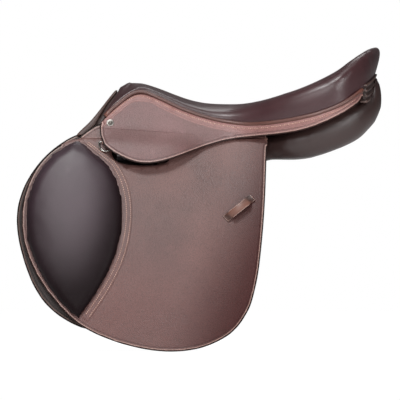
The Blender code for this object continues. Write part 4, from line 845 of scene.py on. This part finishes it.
def hide_sheet(node, name, hide, fold=None, corner_width=0.0015, shape=None, levels=2):
    """A cut sheet of hide with a wall in dark edge dye and a rounded corner on its outer edge.

    Along a fold the sheet has neither, as the leather goes on there. With levels the corner takes the
    hide's own finish, beside which the painted highlight line then follows the marked outline, and without
    levels the corner itself is painted light as a highlight."""
    obj = copied(node, name)
    if shape:
        shape(obj)
    for finish in (hide, edge_dye, edge_highlight):
        obj.data.materials.append(finish)
    mesh = obj.data
    for face in mesh.polygons:
        on_fold = fold and all(fold(mesh.vertices[i].co.x, mesh.vertices[i].co.z) for i in face.vertices)
        face.material_index = int(is_wall(face) and not on_fold)
    walls = {tuple(sorted(key)) for face in mesh.polygons if is_wall(face) for key in face.edge_keys}
    outer = {tuple(sorted(key)) for face in mesh.polygons
             if face.normal.y < -WALL_TILT for key in face.edge_keys}
    rim = walls & outer

    # Outer edges off the folds, which are rounded and carry the painted highlight
    def lit_edge(edge):
        middle = (mesh.vertices[edge.vertices[0]].co + mesh.vertices[edge.vertices[1]].co) / 2
        return tuple(sorted(edge.vertices)) in rim and not (fold and fold(middle.x, middle.z))

    bevel = {"offset": corner_width, "segments": 2, "material": 2, "clamp_overlap": True, "loop_slide": False}
    edit(obj, lit_edge, (bpy.ops.mesh.bevel, bevel), kind="EDGE")
    for face in mesh.polygons:
        beyond_corner = face.normal.y > CORNER_TILT
        if face.material_index == 2 and (levels or beyond_corner):
            face.material_index = int(beyond_corner)
    if levels:
        rounded(obj, levels)
        mark_rim(obj, fold)
    return obj


def mark_rim(obj, fold):
    """Each point's distance in side view from the sheet's outline, for the lines that run beside it."""
    mesh = obj.data
    sides = {}
    for face in mesh.polygons:
        part = "wall" if face.material_index == 1 else "inner" if face.normal.y > 0 else "outer"
        for key in face.edge_keys:
            sides.setdefault(key, set()).add(part)
    flat = [Vector((vert.co.x, 0.0, vert.co.z)) for vert in mesh.vertices]
    spots = []
    for (a, b), found in sides.items():
        middle = (flat[a] + flat[b]) / 2
        if found == {"wall", "inner"} and not (fold and fold(middle.x, middle.z)):
            spots += [flat[a].lerp(flat[b], k / 4.0) for k in range(4)]
    tree = KDTree(len(spots))
    for i, spot in enumerate(spots):
        tree.insert(spot, i)
    tree.balance()
    away = mesh.attributes.new("rim", "FLOAT", "POINT")
    for i, spot in enumerate(flat):
        away.data[i].value = tree.find(spot)[2]


# Distances below the fold, and above it for the skirt, of the rows of points that shape the stand-off
LOBE_ROWS = (0.0015, 0.0045, 0.0085, 0.013, 0.018, 0.024)
SKIRT_ROWS = (-0.0015, -0.0045, -0.008)
# The leather's thickness across the saddle, where the sheet slants
LOBE_LEATHER = 0.0039


def swell(obj, rows):
    """Rows of points beside the fold, so that skirt and lobe stand off over the bar in one sweep."""
    along = Vector((FOLD_REAR[0] - FOLD_FRONT[0], 0.0, FOLD_REAR[1] - FOLD_FRONT[1])).normalized()
    square = Vector((-along.z, 0.0, along.x))
    start = Vector((FOLD_FRONT[0], 0.0, FOLD_FRONT[1]))
    for row in rows:
        cut = {"plane_co": start - square * row, "plane_no": square}
        edit(obj, lambda face: True, (bpy.ops.mesh.bisect, cut))
    for vert, normal in zip(obj.data.vertices, normals_of(obj.data)):
        x, z = vert.co.x, vert.co.z
        if x < STAND_OFF_END and z < fold_height(x) + RISE_START:
            vert.co.y = -over_bar(x, z) if normal.y < 0 else LOBE_LEATHER - over_bar(x, z)


# How far below the welt's line the skirt's top edge is looked for, and from which x
WELT_UNDER = 0.0105
WELT_FRONT = -0.186
# How far that edge is pushed up, and how much further at the tail, from an x over a run
TOP_LAP = 0.0013
TAIL_LAP = 0.0012
TAIL_FROM = (0.12, 0.06)


def welt_height(x):
    """Height of the welt's line over x."""
    for (x0, z0), (x1, z1) in zip(WELT_LINE, WELT_LINE[1:]):
        if x <= x1:
            break
    return z0 + (z1 - z0) * (x - x0) / (x1 - x0)


def at_welt(x, z):
    return WELT_FRONT < x and z > welt_height(x) - WELT_UNDER


def runs_on(x, z):
    """Where the skirt runs on: at its fold, and where it goes under the welt."""
    return on_skirt_fold(x, z) or at_welt(x, z)


def meet_welt(obj):
    """The skirt's top edge pushed up under the welt."""
    swell(obj, SKIRT_ROWS)
    for vert in obj.data.vertices:
        if at_welt(vert.co.x, vert.co.z):
            vert.co.z += TOP_LAP + TAIL_LAP * smooth((vert.co.x - TAIL_FROM[0]) / TAIL_FROM[1])


def swell_lobe(obj):
    swell(obj, LOBE_ROWS)


# The part of the flap round its cut for the stirrup bar, along x and down to a height
BAR_CUT_X = (-0.200, -0.045)
BAR_CUT_LOW = -0.022
# Above this height the flap has no rubbed edge, as it goes up to its fold
FOLD_ZONE = 0.026
# How far one side of a fold is moved to close the gap that the CAD leaves there
CLOSE_UP = 0.0006


def close_fold(obj, fold, rise, face):
    """The edge on a fold moved up or down along its face until it meets the neighbour's."""
    for vert in obj.data.vertices:
        x, z = vert.co.x, vert.co.z
        if fold(x, z):
            vert.co.y -= face(x, z + rise) - face(x, z)
            vert.co.z += rise
    shade(obj, 50)


def near_cut(x, z):
    """The cut for the stirrup bar, and the line on which the flap folds."""
    return z > FOLD_ZONE or (BAR_CUT_X[0] < x < BAR_CUT_X[1] and z > BAR_CUT_LOW)


# Points that are this far inside the outline, turned outwards and this near to the barrel, are laid on it
FACE_FROM_RIM = 0.003
FACE_OUT = -0.5
FACE_NEAR = 0.0022


def lay_on_barrel(obj):
    """The flap's face drawn onto the barrel surface, without the facets of its solid."""
    rim = obj.data.attributes["rim"].data
    for vert, normal in zip(obj.data.vertices, normals_of(obj.data)):
        face_y = -barrel(vert.co.x, vert.co.z)
        inside = rim[vert.index].value > FACE_FROM_RIM and normal.y < FACE_OUT
        if inside and abs(vert.co.y - face_y) < FACE_NEAR:
            vert.co.y = face_y


flap = hide_sheet("flap_left", "flap_leather_left", flap_hide, near_cut)
lay_on_barrel(flap)
close_fold(flap, on_flap_fold, CLOSE_UP, barrel)
flap_top = hide_sheet("flap_top_left", "flap_top_leather_left", flap_hide, on_flap_fold)
close_fold(flap_top, on_flap_fold, 0.0, barrel)
skirt = hide_sheet("skirt_left", "skirt_leather_left", skirt_hide, runs_on, shape=meet_welt)
close_fold(skirt, on_skirt_fold, -CLOSE_UP, over_bar)
lobe = hide_sheet("skirt_lobe_left", "skirt_lobe_leather_left", skirt_hide, on_skirt_fold, shape=swell_lobe)
close_fold(lobe, on_skirt_fold, 0.0, over_bar)
sweat = hide_sheet("sweat_flap_left", "sweat_flap_leather_left", sweat_hide)
shade(sweat, 50)
keeper = hide_sheet("keeper_left", "keeper_leather_left", keeper_hide, corner_width=0.0006, levels=0)
shade(keeper, 50)

# How far the seat's lower edge goes down behind the welt, and how often the rest is smoothed
SEAT_TUCK = 0.0022
SEAT_EASE = 45
# Sharp edges up to this far above the welt are the seat's lower edge
LOWER_EDGE = 0.006
# What smoothing took off the seat's top is put back, with more at the cantle, from an x over a run
SEAT_FILL = 0.0020
CANTLE_FILL = 0.0034
CANTLE_FROM = (0.19, 0.04)
# The filling starts this far above the welt and is full after this rise
FILL_FROM = (0.004, 0.03)


def ease(obj, times):
    """The subdivided seat smoothed everywhere but at its sharp lower edge."""
    spots = [vert.co for vert in obj.data.vertices]
    kept = {i for key in sharp_edges(obj.data) for i in key
            if spots[i].z < welt_height(spots[i].x) + LOWER_EDGE}
    free = obj.vertex_groups.new(name="free")
    free.add([vert.index for vert in obj.data.vertices if vert.index not in kept], 1.0, "REPLACE")
    modify(obj, "SMOOTH", factor=0.5, iterations=times, vertex_group="free")
    obj.vertex_groups.clear()


def seat_leather():
    """The seat's cover drawn tight over its foam, its lower edge tucked behind the welt."""
    obj = copied("seat_cover", "seat_leather")
    for i in {i for key in sharp_edges(obj.data) for i in key}:
        obj.data.vertices[i].co.z -= SEAT_TUCK
    paired(obj)
    rounded(obj, 2, passes=2)
    ease(obj, SEAT_EASE)
    for vert in obj.data.vertices:
        x, z = vert.co.x, vert.co.z
        full = SEAT_FILL + CANTLE_FILL * smooth((x - CANTLE_FROM[0]) / CANTLE_FROM[1])
        vert.co.z += full * smooth((z - welt_height(x) - FILL_FROM[0]) / FILL_FROM[1])
    obj.data.materials.append(seat_hide)
    shade(obj, 60)
    return obj


seat = seat_leather()
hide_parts("seat_cover", "seat_foam")
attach(seat, "saddle")

# Distance from pleat to pleat, and half of their height
PLEAT = 0.0085
PLEAT_DEPTH = 0.0016
# How far the facing's rear faces are moved back, and what makes a face a rear one
FACING_REACH = 0.0065
FACES_BACK = 0.2
# The pleats follow the facing's arch: its height in the middle, and its fall with the square of y
ARCH_TOP = 0.140
ARCH_FALL = 1.41


def pleated_facing():
    """The facing round the cantle, full enough to meet the panels and gathered in folds along its length."""
    obj = copied("cantle_facing", "cantle_facing_folds")
    paired(obj)
    for vert, normal in zip(obj.data.vertices, normals_of(obj.data)):
        if normal.x > FACES_BACK:
            vert.co.x += FACING_REACH
    rounded(obj, 4)
    for vert, normal in zip(obj.data.vertices, normals_of(obj.data)):
        top = ARCH_TOP - ARCH_FALL * vert.co.y ** 2
        vert.co += normal * PLEAT_DEPTH * math.cos((top - vert.co.z) / PLEAT * 2.0 * math.pi)
    obj.data.materials.append(lining_hide)
    shade(obj, 60)
    return obj


folds = pleated_facing()
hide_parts("cantle_facing")
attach(folds, "saddle")

# How far the head facing's ends are drawn down and forward, below a height that they fade in under
HEAD_DROOP = (0.0045, 0.0035)
DROOP_FROM = (0.042, 0.02)


def head_piece():
    """The facing round the pommel, its lower ends drawn down onto the panels."""
    obj = copied("head_facing", "head_facing_hide")
    for face in obj.data.polygons:
        face.material_index = 0
    paired(obj)
    for vert in obj.data.vertices:
        low = 1.0 - smooth((vert.co.z - DROOP_FROM[0]) / DROOP_FROM[1])
        vert.co.z -= HEAD_DROOP[0] * low
        vert.co.x -= HEAD_DROOP[1] * low
    rounded(obj, 1, passes=2)
    obj.data.materials.append(lining_hide)
    shade(obj, 50)
    return obj


head = head_piece()
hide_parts("head_facing")
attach(head, "saddle")


def welt_cord():
    """The corded piping between seat and skirt."""
    obj = copied("welt_left", "welt_cord_left")
    paired(obj)
    rounded(obj, 1, passes=2)
    obj.data.materials.append(welt_hide)
    shade(obj, 60)
    return obj


seat_on(welt_cord(), "saddle", "welt_leather", "welt")
seat_on(flap, "flap_SIDE", "flap_leather", "flap")
seat_on(flap_top, "saddle", "flap_leather", "flap_top")
seat_on(skirt, "saddle", "flap_leather", "skirt")
seat_on(lobe, "skirt_lobe_SIDE", "flap_leather", "skirt_lobe")
seat_on(sweat, "saddle", "sweat_leather", "sweat_flap")
seat_on(keeper, "flap_SIDE", "flap_leather", "keeper")

# Pressure of the stuffing, and the frames in which it fills the piece
PRESSURE = 4.0
SIM_FRAMES = 20


def stuffed(node, name, hide, voxel, shrink, cap, held, taut=0.0, smoothings=2):
    """A stuffed piece: the solid drawn in a little, remeshed evenly and blown up as cloth under pressure.

    held picks the points that lie against a neighbour and stay, and the filling moves none further than cap."""
    obj = copied(node, name)
    modify(obj, "REMESH", mode="VOXEL", voxel_size=voxel)
    modify(obj, "SMOOTH", factor=0.5, iterations=smoothings)
    start = [(v.co.copy(), v.normal.copy()) for v in obj.data.vertices]
    pins = obj.vertex_groups.new(name="held")
    for vert, (place, normal) in zip(obj.data.vertices, start):
        if held(place, normal):
            pins.add([vert.index], 1.0, "REPLACE")
        else:
            vert.co = place - normal * shrink
    take_up(obj)
    change = obj.modifiers.new("filling", "CLOTH")
    change.settings.use_pressure = True
    change.settings.uniform_pressure_force = PRESSURE
    change.settings.effector_weights.gravity = 0.0
    change.settings.vertex_group_mass = "held"
    change.settings.quality = 5
    change.settings.shrink_min = taut
    change.settings.mass = 0.4
    change.settings.tension_stiffness = change.settings.compression_stiffness = 25.0
    change.settings.bending_stiffness = 2.0
    for step in range(1, SIM_FRAMES + 1):
        bpy.context.scene.frame_set(step)
    take_up(obj)
    bpy.ops.object.modifier_apply(modifier=change.name)
    bpy.context.scene.frame_set(1)
    for vert, (place, normal) in zip(obj.data.vertices, start):
        moved = vert.co - place
        if moved.length > cap:
            vert.co = place + moved.normalized() * cap
    obj.vertex_groups.clear()
    modify(obj, "SMOOTH", factor=0.5, iterations=2)
    modify(obj, "SUBSURF", levels=1, render_levels=1)
    obj.data.materials.append(hide)
    shade(obj, 80)
    return obj


# How much a normal leans to the side, or up, for its point to lie against a neighbour
LIES_AGAINST = 0.35
LIES_UNDER = 0.75
# In front of this x the whole panel is held under the tree
PANEL_HELD = 0.085


def against_flap(place, normal):
    return normal.y > LIES_AGAINST


def against_sweat_flap(place, normal):
    return normal.y < -LIES_AGAINST


def under_tree(place, normal):
    return place.x < PANEL_HELD or normal.z > LIES_UNDER


# How far the panel's rear tip is drawn up and forward, and the height and x over which that sets in
TIP_RISE = 0.009
TIP_DRAW = 0.003
TIP_ABOVE = (0.080, 0.045)
TIP_BEHIND = (0.225, 0.02)


def raise_tip(obj):
    """The panel's rear end drawn up behind the cantle."""
    for vert in obj.data.vertices:
        above = smooth((vert.co.z - TIP_ABOVE[0]) / TIP_ABOVE[1])
        near = above * smooth((vert.co.x - TIP_BEHIND[0]) / TIP_BEHIND[1])
        vert.co.z += TIP_RISE * near
        vert.co.x -= TIP_DRAW * near


# Height of the knee pad's crown, full at points that stand this far off the flap
PAD_DOME = 0.0065
PAD_PROUD = 0.012


def crown(obj):
    """The knee pad's flat face crowned a little, most in its middle."""
    for vert in obj.data.vertices:
        off = [(vert.co[i] - PAD_MIDDLE[i]) * PAD_SHARE[i] for i in (0, 2)]
        share = max(0.0, 1.0 - off[0] ** 2 - off[1] ** 2)
        proud = -vert.co.y - barrel(vert.co.x, vert.co.z)
        vert.co.y -= PAD_DOME * share * smooth(proud / PAD_PROUD)


knee_pad = stuffed("knee_pad_left", "knee_pad_calf_left", pad_hide, voxel=0.004, shrink=0.0010, cap=0.0035,
                   held=against_flap, taut=0.06)
crown(knee_pad)
panel = stuffed("panel_left", "panel_calf_left", panel_hide, voxel=0.005, shrink=0.0015, cap=0.006,
                held=under_tree, smoothings=12)
lower_panel = stuffed("lower_panel_left", "lower_panel_calf_left", panel_hide, voxel=0.0045, shrink=0.001,
                      cap=0.005, held=against_sweat_flap)
raise_tip(panel)
cushions = [seat] + seat_on(knee_pad, "flap_SIDE", "pad_leather", "knee_pad")
cushions += seat_on(panel, "saddle", "panel_leather", "panel")
cushions += seat_on(lower_panel, "saddle", "panel_leather", "lower_panel")

# The knee pad's rear edge, beside which the stitched strip lies, from its top down
PAD_EDGE = mm([
    (-221, 35.5), (-203, 20.8), (-187, 7.2), (-171, -7.2), (-158.5, -30.4), (-151, -57.6), (-149, -86.4),
    (-152, -118), (-160, -150), (-174, -182), (-191, -211), (-209.5, -238), (-219, -252),
])
# The distance from stitch to stitch, and how far below the welt's line the skirt's row runs
THREAD_PITCH = 0.0034
WELT_TO_THREAD = 0.0066
# Distances from the pad's edge, at its top and from a third of the way down: both edges of the stitched
# strip and its two rows of thread
STRIP_FRONT = (0.0004, 0.0004)
STRIP_REAR = (0.0065, 0.0135)
FRONT_ROW = (0.0022, 0.0042)
REAR_ROW = (0.0050, 0.0108)
STRIP_WIDENS = 0.35
# The strip's thickness, and the steps into which the pad's edge and the welt's line are divided
STRIP_THICK = 0.0009
PAD_STEPS = 90
WELT_STEPS = 120
# The strip and its thread each leave out some steps at the top and at the foot
STRIP_RUN = slice(2, -1)
THREAD_RUN = slice(4, -3)


def widening(start, end):
    """A distance that grows from start to end over the first part of a line."""
    return lambda share: start + (end - start) * smooth(share / STRIP_WIDENS)


flap_surface = surface_of(flap, flap_top)
pad_line = through(PAD_EDGE, PAD_STEPS)
near_edge = beside(pad_line, widening(*STRIP_FRONT))
far_edge = beside(pad_line, widening(*STRIP_REAR))
band = laid_strip("facing_band_left", flap_surface, near_edge[STRIP_RUN], far_edge[STRIP_RUN], STRIP_THICK)
band.data.materials.append(flap_hide)
shade(band, 40)
seat_on(band, "flap_SIDE", "flap_leather")
band_surface = surface_of(band)
rows = stitch_row(band_surface, beside(pad_line, widening(*FRONT_ROW))[THREAD_RUN], THREAD_PITCH)
rows += stitch_row(band_surface, beside(pad_line, widening(*REAR_ROW))[THREAD_RUN], THREAD_PITCH)
seat_on(sewn("facing_thread_left", rows), "flap_SIDE", None)

skirt_surface = surface_of(skirt)
welt_run = [Vector((x, z - WELT_TO_THREAD)) for x, z in WELT_LINE[1:-1]]
rows = stitch_row(skirt_surface, through(welt_run, WELT_STEPS), THREAD_PITCH)
seat_on(sewn("skirt_thread_left", rows), "saddle", None)

# The studio's paper lies just under the saddle
FLOOR_GAP = 0.0005
FLOOR_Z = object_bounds()[0].z - FLOOR_GAP
PAPER_SIZE = 14.0
# The paper's glow, the share of it that the camera sees, and how much of that glossy rays see
PAPER_GLOW = 1.22
GLOW_SHARE = 0.8
IN_GLOSS = 0.15
# What the world lights the saddle with, while it looks white to the camera
WORLD_LIGHT = 0.12


def studio():
    """White paper that glows for the camera and, weakly, for glossy rays, under a dim world."""
    material, tree, shader = finish_named("white_sweep_paper", Roughness=0.9)
    place = add(tree, "TexCoord").outputs["Object"]
    mottle = add(tree, "TexNoise", {"Vector": place, "Scale": 3.0}).outputs[0]
    paper = add(tree, "Mix", {0: mottle, 6: linear("#f4f4f4"), 7: linear("#fbfbfb")}, data_type="RGBA")
    tree.links.new(paper.outputs[2], shader.inputs["Base Color"])
    seen = add(tree, "LightPath")
    gloss, camera_ray = seen.outputs["Is Glossy Ray"], seen.outputs["Is Camera Ray"]
    shiny = add(tree, "Math", {0: gloss, 1: IN_GLOSS}, operation="MULTIPLY").outputs[0]
    direct = add(tree, "Math", {0: camera_ray, 1: shiny}, operation="MAXIMUM").outputs[0]
    share = add(tree, "Math", {0: direct, 1: GLOW_SHARE}, operation="MULTIPLY").outputs[0]
    glow = add(tree, "Emission", {"Color": (1.0, 1.0, 1.0, 1.0), "Strength": PAPER_GLOW}).outputs[0]
    blend = add(tree, "MixShader", {0: share, 1: shader.outputs[0], 2: glow})
    tree.links.new(blend.outputs[0], tree.nodes["Material Output"].inputs[0])
    bpy.ops.object.select_all(action="DESELECT")
    bpy.ops.mesh.primitive_plane_add(size=PAPER_SIZE, location=(0.0, 0.0, FLOOR_Z))
    floor = bpy.context.object
    floor.name = "studio_floor"
    floor.data.materials.append(material)
    bpy.ops.object.transform_apply(location=True, rotation=True, scale=True)
    world = bpy.context.scene.world or bpy.data.worlds.new("studio_world")
    bpy.context.scene.world = world
    world.use_nodes = True
    tree = world.node_tree
    back = tree.nodes["Background"]
    back.inputs["Color"].default_value = (1.0, 1.0, 1.0, 1.0)
    back.inputs["Strength"].default_value = WORLD_LIGHT
    white = add(tree, "Background", {"Color": (1.0, 1.0, 1.0, 1.0), "Strength": 1.0}).outputs[0]
    seen = add(tree, "LightPath")
    blend = add(tree, "MixShader", {0: seen.outputs["Is Camera Ray"], 1: back.outputs[0], 2: white})
    tree.links.new(blend.outputs[0], tree.nodes["World Output"].inputs[0])


def lamp(name, place, target, size, power):
    """A soft lamp that looks at a target, its size in metres and its power in watts."""
    data = bpy.data.lights.new(name, "AREA")
    data.shape = "RECTANGLE"
    data.size, data.size_y = size
    data.energy = power
    obj = bpy.data.objects.new(name, data)
    obj.location = place
    obj.rotation_euler = (Vector(target) - Vector(place)).to_track_quat("-Z", "Y").to_euler()
    bpy.context.scene.collection.objects.link(obj)


studio()
lamp("key_softbox", (-0.75, -1.5, 2.3), (0.0, -0.1, -0.05), (0.9, 0.6), 60.0)
lamp("front_softbox", (-0.7, -2.5, 0.9), (0.0, 0.0, -0.05), (1.6, 0.4), 26.0)
lamp("side_softbox", (1.3, -2.0, 0.55), (0.15, 0.0, 0.10), (1.0, 0.6), 24.0)
lamp("top_softbox", (0.0, -0.3, 2.3), (0.0, 0.0, 0.0), (1.6, 0.9), 10.0)
lamp("rear_softbox", (0.2, 1.9, 2.4), (0.0, 0.0, 0.0), (1.2, 1.0), 14.0)

# Level camera square to the left side, as far off as a long studio lens
# The middle of what it sees in x and z, how wide that is, and the y at which it is that wide
VIEW_CENTRE = (-0.0272, -0.0624)
VIEW_WIDTH = 0.640
NEAR_SIDE = -0.13
DISTANCE = 20.0
eye = bpy.data.cameras.new("side_camera")
eye.lens = eye.sensor_width * DISTANCE / VIEW_WIDTH
eye.clip_end = 100.0
camera = bpy.data.objects.new("side_camera", eye)
camera.location = (VIEW_CENTRE[0], NEAR_SIDE - DISTANCE, VIEW_CENTRE[1])
camera.rotation_euler = (math.radians(90.0), 0.0, 0.0)
bpy.context.scene.collection.objects.link(camera)
bpy.context.scene.camera = camera
bpy.context.scene.view_settings.view_transform = "Standard"
